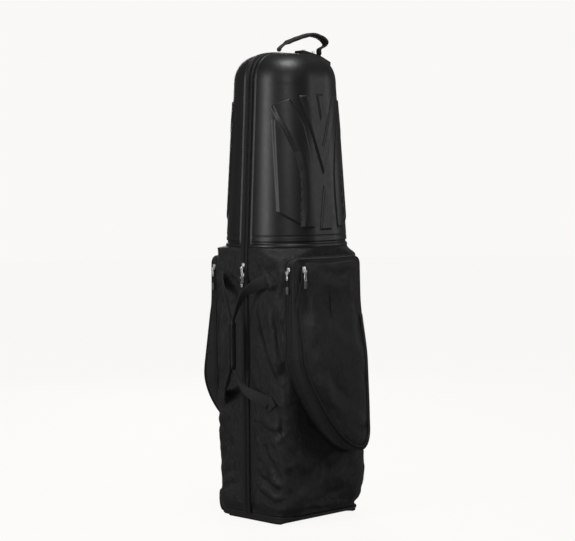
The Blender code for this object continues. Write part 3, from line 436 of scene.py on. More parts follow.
def shell_relief(girth, height):
    """How far the pressed relief stands out of the plain shell, alike on both sides of its middle."""
    side = -np.abs(girth - RELIEF_SHIFT)
    groove, ridge, edge = (along_line(points, height) for points in (GROOVE, RIDGE, RIB_EDGE))
    flank = np.clip((side - groove) / (ridge - groove), 0.0, 1.0) ** 0.85
    crown = 1.0 - 0.30 * smoothstep(0.0, 1.0, (side - ridge) / (edge - ridge))
    tip = 1.138 + (side + 0.143) * 0.34
    rib = flank * crown * smoothstep(0.0, 0.003, edge - side) * smoothstep(0.0, 0.003, tip - height)
    rib = rib * smoothstep(0.0, 0.0035, height - 0.803)
    slash = 0.846 - (side + 0.147) * 0.56
    panel = smoothstep(-0.152, -0.140, side) * smoothstep(0.0, 0.0024, groove - side)
    panel = panel * smoothstep(0.0, 0.003, height - slash) * smoothstep(0.0, 0.006, 1.100 - height)
    arms = raised(side, height, ARM, 0.0035)
    wedge = raised(side, height, WEDGE, 0.003)
    stem = raised(side, height, STEM, 0.003)
    return RIB_RISE * rib + 0.0034 * panel + 0.0040 * arms + 0.0030 * wedge + 0.0036 * stem


def shell_bands(from_edge, height):
    """The moulded lines above the rim and the ridge along the zip."""
    thin = -0.0012 * np.exp(-((height - 0.7815) / 0.0016) ** 2)
    thick = -0.0032 * smoothstep(0.7595, 0.7615, height) * smoothstep(0.0, 0.002, 0.7685 - height)
    lines = (thin + thick) * smoothstep(0.012, 0.016, from_edge)
    lip = 0.0008 * smoothstep(0.0, 0.003, 0.7600 - height)
    ridge = 0.0022 * np.exp(-((from_edge - 0.0085) / 0.0026) ** 2) * smoothstep(0.752, 0.775, height)
    return lines + lip + ridge


def dome_level(turn):
    """Half width and height on the dome, from the shoulder (turn 0) to the crest (turn 90 degrees)."""
    across = np.maximum(np.cos(turn), 0.0) ** DOME_FULLNESS
    return (DOME_FLAT_HALF + (SHELL_SHOULDER_HALF - DOME_FLAT_HALF) * across,
            SHOULDER + (CREST - SHOULDER) * np.sin(turn) ** DOME_FULLNESS)


def shell_rows():
    """Half width and height of each row up to the crest, close together where the relief is."""
    low = np.concatenate([np.linspace(SHELL_BASE, 0.800, 36), np.linspace(0.8018, 1.168, 205),
                          np.linspace(1.172, SHOULDER, 6)])
    half = (SHELL_RIM_HALF + (SHELL_SHOULDER_HALF - SHELL_RIM_HALF) * (low - SHELL_BASE)
            / (SHOULDER - SHELL_BASE))
    turn = pi / 2 * np.linspace(0.0, 1.0, 43)[1:] ** 1.25
    dome_half, dome = dome_level(turn)
    return np.concatenate([half, dome_half]), np.concatenate([low, dome])


def shell_radius(half):
    return np.minimum(SHELL_ROUNDNESS * half, half - CUT - 0.0005)


def both_sides(shares):
    return np.concatenate([-shares[:0:-1], shares])


def shell_grid(grow=0.0):
    """Front half of the shell from rim to crest, with its relief where it isn't grown."""
    half, height = shell_rows()
    shares = both_sides(np.concatenate([np.linspace(0.0, 0.72, 100), np.linspace(0.728, 0.9, 18),
                                        np.linspace(0.906, 1.0, 16)]))[None, :]
    half, height = half[:, None], height[:, None]
    x, y, girth = plan(half, half, shell_radius(half), shares)
    height = np.broadcast_to(height, x.shape)
    grid = np.stack([x, y, height], axis=-1)
    normal = grid_normals(grid)
    from_edge = girth[:, -1:] - np.abs(girth)
    relief = shell_relief(girth, height)
    rise = relief + shell_bands(from_edge, height) + grow
    grid = grid + normal * rise[..., None]
    steep = np.linalg.norm(np.stack(np.gradient(relief), axis=-1), axis=-1)
    # Lighter on the relief's steep, raised sides: wear and painted highlight.
    wear_and_highlight = smoothstep(0.0002, 0.0009, steep) * smoothstep(0.0014, 0.0034, relief)
    centre = np.array([0.0, -CUT, CREST + 0.0015])
    caps = [grid[-1] + (centre - grid[-1]) * share for share in (0.2, 0.45, 0.7, 0.9)]
    grid = np.concatenate([grid, np.stack(caps)])
    wear_and_highlight = np.concatenate([wear_and_highlight, np.zeros((len(caps), wear_and_highlight.shape[1]))])
    return grid, wear_and_highlight


def build_shells():
    grid, wear_and_highlight = shell_grid()
    rows, columns = grid.shape[:2]
    faces = list(grid_faces(rows, columns)) + [np.arange((rows - 1) * columns, rows * columns)]
    mesh = make_mesh("front_shell_looks", grid.reshape(-1, 3), faces, None, wear_and_highlight.ravel() * 0.5)
    sharpen(mesh, 55)
    rear_mesh = turned(mesh)
    rear_mesh.name = "rear_shell_looks"
    for name, looks, body in (("front_shell", mesh, LID), ("rear_shell", rear_mesh, REAR)):
        piece = add_piece(name + "_looks", looks, SHELL_PLASTIC, body, [name])
        thicken(piece, SHELL_WALL)


# Fabric body
def body_grid(front):
    """Front half of the fabric body with its folds, as points, cloth coordinates and heights."""
    shares = both_sides(np.linspace(0.0, 1.0, 96))[None, :]
    height = np.concatenate([np.linspace(BODY_BOTTOM, 0.06, 14), np.linspace(0.0635, 0.720, 184),
                             np.linspace(0.7235, BODY_TOP, 12)])[:, None]
    foot = FOOT_INSET * (1.0 - smoothstep(BODY_BOTTOM, BODY_BOTTOM + FOOT_HEIGHT, height))
    neck = smoothstep(BODY_TOP - (BODY_NECK if front else REAR_NECK), BODY_TOP, height)
    half_x = BODY_HALF_WIDTH - foot + neck * (SHELL_RIM_HALF - BODY_HALF_WIDTH)
    half_y = BODY_HALF_DEPTH - foot + neck * (SHELL_RIM_HALF - BODY_HALF_DEPTH)
    radius = BODY_CORNER_RADIUS - foot + neck * (SHELL_ROUNDNESS * SHELL_RIM_HALF - BODY_CORNER_RADIUS)
    x, y, girth = plan(half_x, half_y, radius, shares)
    height = np.broadcast_to(height, x.shape)
    grid = np.stack([x, y, height], axis=-1)
    normal = grid_normals(grid)
    rise = body_folds(girth, height, front)
    from_edge = girth[:, -1:] - np.abs(girth)
    held = smoothstep(0.002, 0.030, from_edge) * smoothstep(BODY_BOTTOM, BODY_BOTTOM + 0.025, height)
    held = held * smoothstep(0.0, 0.022, BODY_TOP - height)
    grid = grid + normal * (rise * held + body_lean(girth, height, front))[..., None]
    return grid, np.stack([girth, height], axis=-1)


def body_lean(girth, height, front):
    """The foot of the body leans to the front and the +X side, where its padding hangs out over the base."""
    hang = smoothstep(0.030, 0.105, height) * (1.0 - smoothstep(0.150, 0.270, height))
    if front:
        corner = smoothstep(-0.060, 0.110, girth) * (1.0 - smoothstep(0.170, 0.245, girth))
        tucked = (1.0 - smoothstep(0.028, 0.060, height)) * np.exp(-((girth - 0.143) / 0.045) ** 2)
        return 0.0145 * hang * corner - 0.0075 * tucked
    return -0.0065 * hang * np.exp(-((girth - 0.143) / 0.055) ** 2)


# Folds on the front half as (points of (girth, height), rise, width)
FRONT_FOLDS = (
    (((-0.225, 0.223), (-0.185, 0.170), (-0.150, 0.110)), -0.0065, 0.011),
    (((-0.178, 0.250), (-0.150, 0.200), (-0.128, 0.140)), 0.0070, 0.016),
    (((-0.205, 0.215), (-0.180, 0.150), (-0.160, 0.095)), 0.0045, 0.014),
    (((-0.240, 0.128), (-0.200, 0.112), (-0.152, 0.090)), -0.0045, 0.008),
    (((-0.240, 0.108), (-0.195, 0.090), (-0.150, 0.066)), 0.0040, 0.010),
    (((-0.238, 0.085), (-0.200, 0.072), (-0.165, 0.056)), -0.0035, 0.007),
    (((-0.135, 0.058), (-0.040, 0.098), (0.040, 0.142), (0.125, 0.190)), 0.0080, 0.024),
    (((-0.125, 0.095), (-0.040, 0.150), (0.060, 0.195)), -0.0060, 0.022),
    (((-0.110, 0.030), (0.0, 0.060), (0.110, 0.120)), -0.0045, 0.016),
    (((-0.115, 0.044), (-0.060, 0.050), (0.0, 0.040)), 0.0035, 0.008),
    (((-0.090, 0.032), (-0.040, 0.036), (0.030, 0.030)), -0.0030, 0.006),
    (((-0.226, 0.620), (-0.200, 0.520), (-0.160, 0.400)), 0.0065, 0.013),
    (((-0.240, 0.540), (-0.205, 0.460), (-0.158, 0.366)), -0.0070, 0.009),
    (((-0.190, 0.610), (-0.170, 0.500), (-0.146, 0.400)), 0.0060, 0.011),
    (((-0.174, 0.600), (-0.160, 0.510), (-0.150, 0.440)), -0.0050, 0.007),
    (((-0.215, 0.700), (-0.190, 0.660), (-0.160, 0.640)), 0.0050, 0.012),
    (((-0.235, 0.690), (-0.190, 0.690), (-0.150, 0.700)), -0.0035, 0.009),
    (((-0.230, 0.300), (-0.185, 0.270), (-0.150, 0.262)), 0.0045, 0.012),
    (((-0.165, 0.330), (-0.150, 0.290), (-0.150, 0.240)), -0.0045, 0.008),
)


def body_folds(girth, height, front):
    """Folds of the fabric: those seen in front, their like on the far side, and a slack all over."""
    rise = 0.0030 * cloud(girth, height * 0.55, 0.070, 3 if front else 8)
    rise += 0.0016 * cloud(girth * 1.2 + height, height * 0.8 - girth, 0.030, 5 if front else 11)
    corner = np.exp(-((np.abs(girth) - 0.143) / 0.020) ** 2)
    rise += 0.0030 * corner * np.sin(height * 46.0 + 2.0 * np.sin(height * 11.0))
    for points, lift, width in FRONT_FOLDS:
        rise += 1.35 * fold(girth, height, points, lift, width)
        far = [(-place, level * 0.93 + 0.02) for place, level in points]
        rise += 0.7 * fold(girth, height, far, lift, width * 1.1)
    sag = 1.0 - smoothstep(0.045, 0.12, height)
    return rise + 0.004 * sag


WHEEL_GAP_INNER = 0.0935    # the opening for a wheel, as girth from the rear middle
WHEEL_GAP_OUTER = 0.1325
WHEEL_GAP_TOP = 0.0670


def build_bodies():
    """Both halves of the fabric body; the rear one is open where the wheels stand."""
    for name, body, front in (("front_body_fabric", LID, True), ("rear_body_fabric", REAR, False)):
        grid, cloth = body_grid(front)
        rows, columns = grid.shape[:2]
        faces = grid_faces(rows, columns)
        if not front:
            middle = cloth.reshape(-1, 2)[faces].mean(axis=1)
            girth, height = np.abs(middle[:, 0]), middle[:, 1]
            wheel = (girth > WHEEL_GAP_INNER) & (girth < WHEEL_GAP_OUTER) & (height < WHEEL_GAP_TOP)
            faces = faces[~wheel]
        mesh = make_mesh(name + "_looks", grid.reshape(-1, 3), faces, cloth.reshape(-1, 2))
        if not front:
            mesh.transform(HALF_TURN)
        piece = add_piece(name + "_looks", mesh, NYLON, body, [name])
        thicken(piece, 0.003)


# Runs: tapes, piping, teeth and stitches along a line on a surface
def resample(points, count):
    """Points evenly spaced along a run."""
    points = np.asarray(points, float)
    steps = np.linalg.norm(np.diff(points, axis=0), axis=1)
    along = np.concatenate([[0.0], np.cumsum(steps)])
    wanted = np.linspace(0.0, along[-1], count)
    return np.stack([np.interp(wanted, along, points[:, axis]) for axis in range(points.shape[1])], axis=1)


def unit(vectors):
    return vectors / np.maximum(np.linalg.norm(vectors, axis=-1, keepdims=True), 1e-12)


def run_frames(points, outward):
    """Directions along, across and outward at each point of a run."""
    along = unit(np.gradient(points, axis=0))
    across = unit(np.cross(along, outward))
    return along, across, unit(np.cross(across, along))


def run_length(points):
    return np.concatenate([[0.0], np.cumsum(np.linalg.norm(np.diff(points, axis=0), axis=1))])


def swept(name, points, outward, section, closed=True, capped=True):
    """A section of (across, outward) offsets carried along a run."""
    _, across, out = run_frames(points, outward)
    section = np.asarray(section, float)
    grid = (points[:, None] + across[:, None] * section[None, :, :1] + out[:, None] * section[None, :, 1:])
    length = np.broadcast_to(run_length(points)[:, None], grid.shape[:2])
    girth = np.concatenate([[0.0], np.cumsum(np.linalg.norm(np.diff(section, axis=0), axis=1))])
    cloth = np.stack([np.broadcast_to(girth, length.shape), length], axis=-1)
    rows, columns = grid.shape[:2]
    faces = [tuple(face) for face in grid_faces(rows, columns, closed)]
    if closed and capped:
        faces.append(tuple(range(columns))[::-1])
        faces.append(tuple(range((rows - 1) * columns, rows * columns)))
    return make_mesh(name, grid.reshape(-1, 3), faces, cloth.reshape(-1, 2))


def round_section(radius, steps=8, lift=0.0):
    turns = -np.arange(steps) * 2 * pi / steps
    return np.stack([radius * np.cos(turns), radius * np.sin(turns) + lift], axis=1)


def blocks(name, points, outward, pitch, size, lift, shift=0.0, stagger=0.0):
    """Small bevelled blocks at an even pitch along a run: zip teeth or stitches, as (along, across, high)."""
    count = max(2, int(run_length(np.asarray(points))[-1] / pitch))
    points = resample(np.concatenate([points, outward], axis=1), count)
    points, outward = points[:, :3], points[:, 3:]
    along, across, out = run_frames(points, outward)
    half = np.array(size) / 2
    corners = np.array([(a, b, c) for c in (-1, 1) for b in (-1, 1) for a in (-1, 1)], float)
    taper = np.where(corners[:, 2:] > 0, 0.62, 1.0)
    corners = corners * np.concatenate([taper, taper, np.ones_like(taper)], axis=1) * half
    sides = shift + stagger * np.where(np.arange(count) % 2, 1.0, -1.0)
    grid = (points[:, None] + along[:, None] * corners[None, :, :1]
            + across[:, None] * (corners[None, :, 1:2] + sides[:, None, None])
            + out[:, None] * (corners[None, :, 2:] + lift))
    box = np.array([(0, 2, 3, 1), (4, 5, 7, 6), (0, 1, 5, 4), (2, 6, 7, 3), (0, 4, 6, 2), (1, 3, 7, 5)])
    faces = (box[None, :, ::-1] + 8 * np.arange(count)[:, None, None]).reshape(-1, 4)
    places = grid.reshape(-1, 3)
    return make_mesh(name, places, faces, places[:, :2], smooth=False)


TAPE_SECTION = np.array([(-0.0075, -0.0008), (-0.0072, 0.0006), (-0.0034, 0.0010), (-0.0026, 0.0004),
                         (0.0026, 0.0004), (0.0034, 0.0010), (0.0072, 0.0006), (0.0075, -0.0008)])


def add_zip(name, points, outward, body, replaced=()):
    """A zip sewn on a surface: its tape, its coil of teeth and a row of stitches on each side."""
    points = np.asarray(points, float)
    add_piece(name + "_tape", swept(name + "_tape", points, outward, TAPE_SECTION), ZIP_TAPE, body)
    teeth = blocks(name + "_teeth", points, outward, 0.0017, (0.0012, 0.0032, 0.0012), 0.0009, 0.0, 0.0005)
    add_piece(name + "_teeth", teeth, TEETH, body)
    rows = [blocks(name + "_stitch", points, outward, 0.0034, (0.0022, 0.0006, 0.0006), 0.0009, side)
            for side in (-0.0056, 0.0056)]
    add_piece(name + "_stitches", join_meshes(name + "_stitches", rows), THREAD, body)


# Main zip
def zip_run():
    """Points up the -X side, over the crest and down the +X side, in the plane of the cut."""
    low = [(ZIP_SIDE, z) for z in np.linspace(BODY_BOTTOM, ZIP_KINK, 90)]
    top = (SHELL_SHOULDER_HALF + ZIP_PROUD, SHOULDER)
    slope = [(ZIP_SIDE + (top[0] - ZIP_SIDE) * s, ZIP_KINK + (top[1] - ZIP_KINK) * s)
             for s in np.linspace(0.0, 1.0, 70)[1:]]
    dome = []
    for turn in np.linspace(0.0, pi / 2, 40)[1:]:
        half, height = dome_level(turn)
        dome.append((half + ZIP_PROUD * cos(turn), height + ZIP_PROUD * sin(turn)))
    half = low + slope + dome
    run = [(-x, z) for x, z in half] + [(x, z) for x, z in reversed(half)]
    return np.array([(x, 0.0, z) for x, z in run])


# Section of one side of the main zip: distance from the parting line, height over the CAD tape's face
MAIN_SECTION = np.array([(0.0007, -0.0070), (0.0007, -0.0022), (0.0040, -0.0020), (0.0048, -0.0008),
                         (0.0060, 0.0003),
                         (0.0078, 0.0005), (0.0088, -0.0006), (0.0094, -0.0004), (0.0104, 0.0004),
                         (0.0116, 0.0001),
                         (0.0123, -0.0010), (0.0123, -0.0070)])


def build_main_zip():
    points = zip_run()
    along = unit(np.gradient(points, axis=0))
    outward = np.stack([-along[:, 2], np.zeros(len(points)), along[:, 0]], axis=1)
    for end, side, body in (("front", 1.0, LID), ("rear", -1.0, REAR)):
        section = MAIN_SECTION * (side, 1.0)
        if side < 0:
            section = section[::-1]
        name = end + "_zip_tape"
        mesh = swept(name + "_looks", points, outward, section)
        sharpen(mesh, 50)
        add_piece(name + "_looks", mesh, ZIP_TAPE, body, [name])
        teeth = blocks(end + "_main_teeth", points, outward, 0.0030, (0.0016, 0.0036, 0.0018), -0.0010,
                       side * 0.0016)
        add_piece(end + "_main_teeth", teeth, TEETH, body)
        stitches = blocks(end + "_main_stitches", points, outward, 0.0036, (0.0024, 0.0006, 0.0006), -0.0005,
                          side * 0.0091)
        add_piece(end + "_main_stitches", stitches, THREAD, body)


# Pockets
SPINE = ((-0.012, 0.640), (-0.006, 0.450), (0.022, 0.330), (0.055, 0.262))
POCKET_TOP_DEPTH = 0.022
POCKET_BEND_DEPTH = 0.026
POCKET_TURN_DEPTH = 0.054
POCKET_LOW_DEPTH = 0.066
POCKET_BEND = (POCKET_TOP + POCKET_TURN) / 2
REAR_POCKET_TURN = 0.395        # the rear pocket's padding hangs lower and fuller than its solid
REAR_POCKET_TURN_DEPTH = 0.072
POCKET_POINTS = 300
# The pocket's wall from the fabric to its rim: (distance inward, share of the depth)
WALL = ((-0.0040, -0.06), (-0.0010, 0.00), (0.0006, 0.10), (0.0000, 0.24), (-0.0006, 0.40), (-0.0006, 0.56),
        (0.0002, 0.72), (0.0018, 0.86), (0.0042, 0.95), (0.0075, 1.00))
FACE_RINGS = 44
SLIDER_TRACK = 0.100            # the face lies flat under the outer slider's run, this far to the -X side


def bezier(start, start_handle, end_handle, end, count):
    share = np.linspace(0.0, 1.0, count)[:, None]
    rest = 1.0 - share
    start, start_handle, end_handle, end = (np.asarray(p, float) for p in (start, start_handle, end_handle,
                                                                           end))
    return (start * rest ** 3 + 3 * start_handle * rest ** 2 * share + 3 * end_handle * rest * share ** 2
            + end * share ** 3)


def pocket_outline(turn):
    """The pocket's outline from the front as (side, height) points, down the near edge and up the far one."""
    round_top = 0.022
    near, far, tip = -POCKET_NEAR, POCKET_FAR, (POCKET_LOW_SIDE, POCKET_LOW)
    fall = turn - POCKET_LOW
    far_fall = POCKET_FAR_TURN - POCKET_LOW
    top = POCKET_TOP
    near_corner = bezier((near + round_top, top), (near + 0.4 * round_top, top),
                         (near, top - 0.4 * round_top),
                         (near, top - round_top), 12)
    sweep = bezier((near, turn), (near, turn - 0.28 * fall), (tip[0] + 0.70 * near, tip[1]), tip, 60)
    far_sweep = bezier(tip, (tip[0] + 0.60 * (far - tip[0]), tip[1]),
                       (far, POCKET_FAR_TURN - 0.60 * far_fall),
                       (far, POCKET_FAR_TURN), 30)
    far_corner = bezier((far, top - round_top), (far, top - 0.4 * round_top), (far - 0.4 * round_top, top),
                        (far - round_top, top), 12)
    return np.concatenate([near_corner, sweep, far_sweep, far_corner, near_corner[:1]])


def body_face(side):
    """Distance of the fabric's front from the middle."""
    over = np.clip(np.abs(side) - (BODY_HALF_WIDTH - BODY_CORNER_RADIUS), 0.0, BODY_CORNER_RADIUS)
    return BODY_HALF_DEPTH - BODY_CORNER_RADIUS + np.sqrt(BODY_CORNER_RADIUS ** 2 - over ** 2)


class PocketForm:
    """Outline and depth of one pocket, drawn as the front one."""

    def __init__(self, turn, turn_depth):
        self.turn, self.turn_depth = turn, turn_depth
        self.outline = resample(pocket_outline(turn), POCKET_POINTS + 1)[:-1]
        self.inner_end = self.toward_spine()
        self.inward = unit(self.inner_end - self.outline)

    def toward_spine(self):
        """For each point of the outline, the nearest point of the spine."""
        _, where = line_distance(self.outline[:, 0], self.outline[:, 1], SPINE)
        spine = resample(SPINE, 200)
        ends = spine[np.clip((where * 199).round().astype(int), 0, 199)]
        kernel = np.ones(21) / 21
        padded = np.concatenate([ends[-10:], ends, ends[:10]])
        return np.stack([np.convolve(padded[:, axis], kernel, "valid") for axis in (0, 1)], axis=1)

    def face(self, side, height):
        """Distance of the pocket's face from the middle, its bend made smooth."""
        depth = sum(np.interp(height + shift, (POCKET_LOW, self.turn, POCKET_BEND, POCKET_TOP),
                              (POCKET_LOW_DEPTH, self.turn_depth, POCKET_BEND_DEPTH, POCKET_TOP_DEPTH))
                    for shift in (-0.024, -0.008, 0.008, 0.024)) / 4
        return BODY_HALF_DEPTH + depth * (1.0 - 0.30 * np.clip(np.abs(side) / POCKET_NEAR, 0.0, 1.1) ** 4)

    def place(self, indices, distance, share):
        """Points on the wall or rim, at a distance inward from the outline and a share of the depth."""
        flat = self.outline[indices] + self.inward[indices] * np.broadcast_to(distance, len(indices))[:,
                                                                                                      None]
        back, face = body_face(flat[:, 0]), self.face(flat[:, 0], flat[:, 1])
        return np.stack([flat[:, 0], -(back + (face - back) * share), flat[:, 1]], axis=1)

    def part(self, first_height, last_height):
        """Indices from a height on the near edge, round the bottom, to a height on the far edge."""
        side, height = self.outline.T
        lowest = int(np.argmin(height))
        first = next(i for i in range(POCKET_POINTS) if side[i] < 0.0 and height[i] <= first_height)
        last = next(i for i in range(lowest, POCKET_POINTS) if height[i] >= last_height)
        return np.arange(first, last + 1)


POCKET_FORMS = {"front": PocketForm(POCKET_TURN, POCKET_TURN_DEPTH),
                "rear": PocketForm(REAR_POCKET_TURN, REAR_POCKET_TURN_DEPTH)}


# Folds of the pocket's face as (points of (side, height), rise, width)
FACE_FOLDS = (
    (((-0.105, 0.640), (-0.080, 0.560), (-0.085, 0.480)), 0.0035, 0.014),
    (((-0.060, 0.690), (0.020, 0.675), (0.090, 0.690)), -0.0040, 0.014),
    (((-0.050, 0.655), (0.020, 0.640), (0.085, 0.650)), 0.0030, 0.016),
    (((-0.085, 0.420), (-0.045, 0.340), (0.020, 0.290)), 0.0045, 0.018),
    (((-0.060, 0.440), (-0.015, 0.370), (0.050, 0.320)), -0.0040, 0.014),
    (((0.060, 0.245), (0.090, 0.250), (0.112, 0.262)), -0.0045, 0.008),
    (((0.045, 0.262), (0.080, 0.270), (0.110, 0.285)), 0.0035, 0.009),
    (((-0.030, 0.560), (0.010, 0.500), (0.080, 0.470)), 0.0028, 0.020),
    (((0.085, 0.620), (0.095, 0.540), (0.080, 0.460)), -0.0030, 0.014),
)


def pocket_grid(form, seed):
    """Rings from the fabric up the wall, over the rim and in across the puffed face."""
    everywhere = np.arange(POCKET_POINTS)
    rings = [form.place(everywhere, distance, share) for distance, share in WALL]
    start = WALL[-1][0]
    reach = np.linalg.norm(form.inner_end - form.outline, axis=1)
    for ring in range(1, FACE_RINGS + 1):
        share = ring / FACE_RINGS
        distance = start + (reach - start) * share * 0.995
        place = form.place(everywhere, distance, 1.0)
        side, height = place[:, 0], place[:, 2]
        puff = 0.0065 * smoothstep(0.0, 0.055,
                                   distance) - 0.0016 * np.exp(-((distance - 0.014) / 0.004) ** 2)
        slack = 0.0026 * cloud(side, height * 0.6, 0.060, seed) + 0.0010 * cloud(side, height, 0.024,
                                                                                 seed + 1)
        folds = sum(fold(side, height, points, rise, width) for points, rise, width in FACE_FOLDS)
        track = np.exp(-((side + SLIDER_TRACK) / 0.015) ** 4) * smoothstep(0.540, 0.590, height)
        rise = puff + (slack + folds) * smoothstep(0.010, 0.030, distance)
        place[:, 1] -= rise * (1.0 - track) - 0.0020 * track
        rings.append(place)
    return np.stack(rings)


def pocket_cloth(grid):
    return np.stack([grid[..., 0] + 0.4 * grid[..., 1], grid[..., 2] + 0.3 * grid[..., 1]], axis=-1)


def build_pocket(end, body):
    """One big pocket: its wall and face, its two zips, piping along its seams and the wall's cross seams.

    The rear pocket is drawn as the front one and mirrored.
    """
    form = POCKET_FORMS[end]
    outline, inward = form.outline, form.inward
    mirror = np.array((1.0, 1.0 if end == "front" else -1.0, 1.0))

    def placed(points):
        return points * mirror

    grid = pocket_grid(form, 4 if end == "front" else 21)
    wall_rows = len(WALL)
    cloth = pocket_cloth(grid)
    flip = end == "rear"
    wall = grid_mesh(end + "_pocket_wall", placed(grid[:wall_rows]), cloth[:wall_rows], closed=True,
                     flip=flip)
    piece = add_piece(end + "_pocket_wall", wall, GUSSET, body, [end + "_garment_pocket"])
    thicken(piece, 0.0015)
    face_grid = placed(grid[wall_rows - 1:])
    rows = len(face_grid)
    faces = grid_faces(rows, POCKET_POINTS, True)
    middle = np.arange((rows - 1) * POCKET_POINTS, rows * POCKET_POINTS)
    if flip:
        faces, middle = faces[:, ::-1], middle[::-1]
    face = make_mesh(end + "_pocket_face", face_grid.reshape(-1, 3), [*faces, middle],
                     cloth[wall_rows - 1:].reshape(-1, 2))
    piece = add_piece(end + "_pocket_face", face, POCKET_NYLON, body, [end + "_outer_pocket"])
    thicken(piece, 0.0015)
    part = form.part(0.708, 0.560)
    outward = -np.stack([inward[part, 0], 0.0 * inward[part, 0], inward[part, 1]], axis=1)
    back = body_face(outline[part, 0])
    depth = form.face(outline[part, 0], outline[part, 1]) - back
    inner_run = form.place(part, -0.0010, np.clip(0.0158 / depth, 0.0, 0.6))
    add_zip(end + "_inner_zip", placed(inner_run), placed(outward), body)
    inset = np.interp(outline[part, 1], (0.56, 0.59, 0.63, 0.672, 0.71),
                      (0.0085, 0.011, 0.021, 0.033, 0.036))
    inset = np.where(outline[part, 0] > 0.0, 0.0085, inset)
    outer_run = form.place(part, inset, 1.0)
    outer_run[:, 1] -= 0.0012
    lean = smoothstep(0.010, 0.022, inset)[:, None]
    outer_out = unit(np.array([0.0, -1.0, 0.05]) + outward * 0.35 * (1.0 - lean))
    add_zip(end + "_outer_zip", placed(outer_run), placed(outer_out), body)
    seam = np.concatenate([np.arange(POCKET_POINTS), [0]])
    for name, distance, share, radius in (("base", -0.0012, 0.03, 0.0018), ("rim", 0.0028, 0.93, 0.0016)):
        run = form.place(seam, distance, share)
        out = -np.stack([inward[seam, 0], 0.6 * np.ones(len(seam)), inward[seam, 1]], axis=1)
        piping = swept(end + "_pocket_piping_" + name, placed(run), placed(out), round_section(radius),
                       capped=False)
        add_piece(end + "_pocket_piping_" + name, piping, WEBBING, body)
    seams = []
    for level in (0.452, 0.362, 0.282):
        index = int(part[np.argmin(np.where(outline[part, 0] < 0.05, np.abs(outline[part, 1] - level),
                                            1.0))])
        shares = np.linspace(0.10, 0.90, 14)
        run = np.concatenate([form.place(np.array([index]), -0.0012, share) for share in shares])
        out = np.repeat(-np.array([[inward[index, 0], 0.0, inward[index, 1]]]), len(run), axis=0)
        seams.append(swept("seam", placed(run), placed(out), round_section(0.0012, 6)))
    add_piece(end + "_pocket_cross_seams", join_meshes(end + "_pocket_cross_seams", seams), WEBBING, body)


# Zip sliders, pulls and tabs, in a frame of their own: across, outward, up
SLIDER_GAP = 0.0006
SLIDER_HALF_HEIGHT = 0.007
PULL_AXIS_OUT = 0.0067
PULL_LENGTH = 0.026
INNER_PULL_LENGTH = 0.038
WIRE = 0.00095
SLIDER_OUTLINE = ((-0.0034, 0.0070), (0.0034, 0.0070), (0.0053, 0.0046), (0.0054, -0.0012),
                  (0.0036, -0.0052),
                  (0.0033, -0.0070), (-0.0033, -0.0070), (-0.0036, -0.0052), (-0.0054, -0.0012),
                  (-0.0053, 0.0046))
LUG_OUTLINE = ((0.0018, -0.0100), (0.0066, -0.0100), (0.0079, -0.0086), (0.0079, -0.0056), (0.0066, -0.0040),
               (0.0018, -0.0022))
TAB_OUTLINE = ((-0.0030, 0.0), (0.0030, 0.0), (0.0042, -0.0030), (0.0045, -0.0090), (0.0042, -0.0180),
               (0.0032, -0.0200), (-0.0032, -0.0200), (-0.0042, -0.0180), (-0.0045, -0.0090),
               (-0.0042, -0.0030))


def plate_mesh(name, corners, bevel):
    """A bevelled plate between two like outlines of 3D points."""
    low, high = corners
    count = len(low)
    work = bmesh.new()
    first = [work.verts.new(point) for point in low]
    second = [work.verts.new(point) for point in high]
    work.faces.new(first)
    work.faces.new(second[::-1])
    for index in range(count):
        after = (index + 1) % count
        work.faces.new((first[index], second[index], second[after], first[after]))
    bmesh.ops.recalc_face_normals(work, faces=work.faces)
    bmesh.ops.bevel(work, geom=work.edges[:], offset=bevel, segments=2, profile=0.6, affect="EDGES")
    mesh = bpy.data.meshes.new(name)
    work.to_mesh(mesh)
    work.free()
    mesh.polygons.foreach_set("use_smooth", [True] * len(mesh.polygons))
    sharpen(mesh, 38)
    return mesh


def wire_mesh(name, points, radius, closed=False, steps=8):
    """A round wire through points; its sides are set by a direction that none of its runs takes."""
    points = np.asarray(points, float)
    if closed:
        points = np.concatenate([points, points[:1]])
    points = resample(points, max(8, int(run_length(points)[-1] / (radius * 0.9))))
    aside = np.repeat([[0.13, 0.97, 0.21]], len(points), axis=0)
    return swept(name, points, aside, round_section(radius, steps), capped=not closed)


def arc_points(half_width, middle, start, end, steps=9):
    turns = np.linspace(start, end, steps)
    return [(half_width * cos(turn), 0.0, middle + half_width * sin(turn)) for turn in turns]


def slider_mesh(name):
    plate = plate_mesh(name, ([(x, 0.0, z) for x, z in SLIDER_OUTLINE],
                              [(x, 0.0026, z) for x, z in SLIDER_OUTLINE]),
                       0.0006)
    lugs = [plate_mesh(name, ([(side * 0.0037, y, z) for y, z in LUG_OUTLINE],
                              [(side * 0.0054, y, z) for y, z in LUG_OUTLINE]), 0.0004) for side in (-1, 1)]
    pin = wire_mesh(name, [(-0.0052, PULL_AXIS_OUT, -SLIDER_HALF_HEIGHT),
                           (0.0, PULL_AXIS_OUT, -SLIDER_HALF_HEIGHT),
                           (0.0052, PULL_AXIS_OUT, -SLIDER_HALF_HEIGHT)], 0.0007)
    hood = plate_mesh(name, ([(-0.0026, y, z) for y,
                              z in ((0.0020, 0.0048), (0.0042, 0.0030), (0.0042, -0.0010),
                                                          (0.0020, -0.0030))],
                             [(0.0026, y, z) for y,
                              z in ((0.0020, 0.0048), (0.0042, 0.0030), (0.0042, -0.0010),
                                                         (0.0020, -0.0030))]), 0.0007)
    return join_meshes(name, [plate, *lugs, pin, hood])


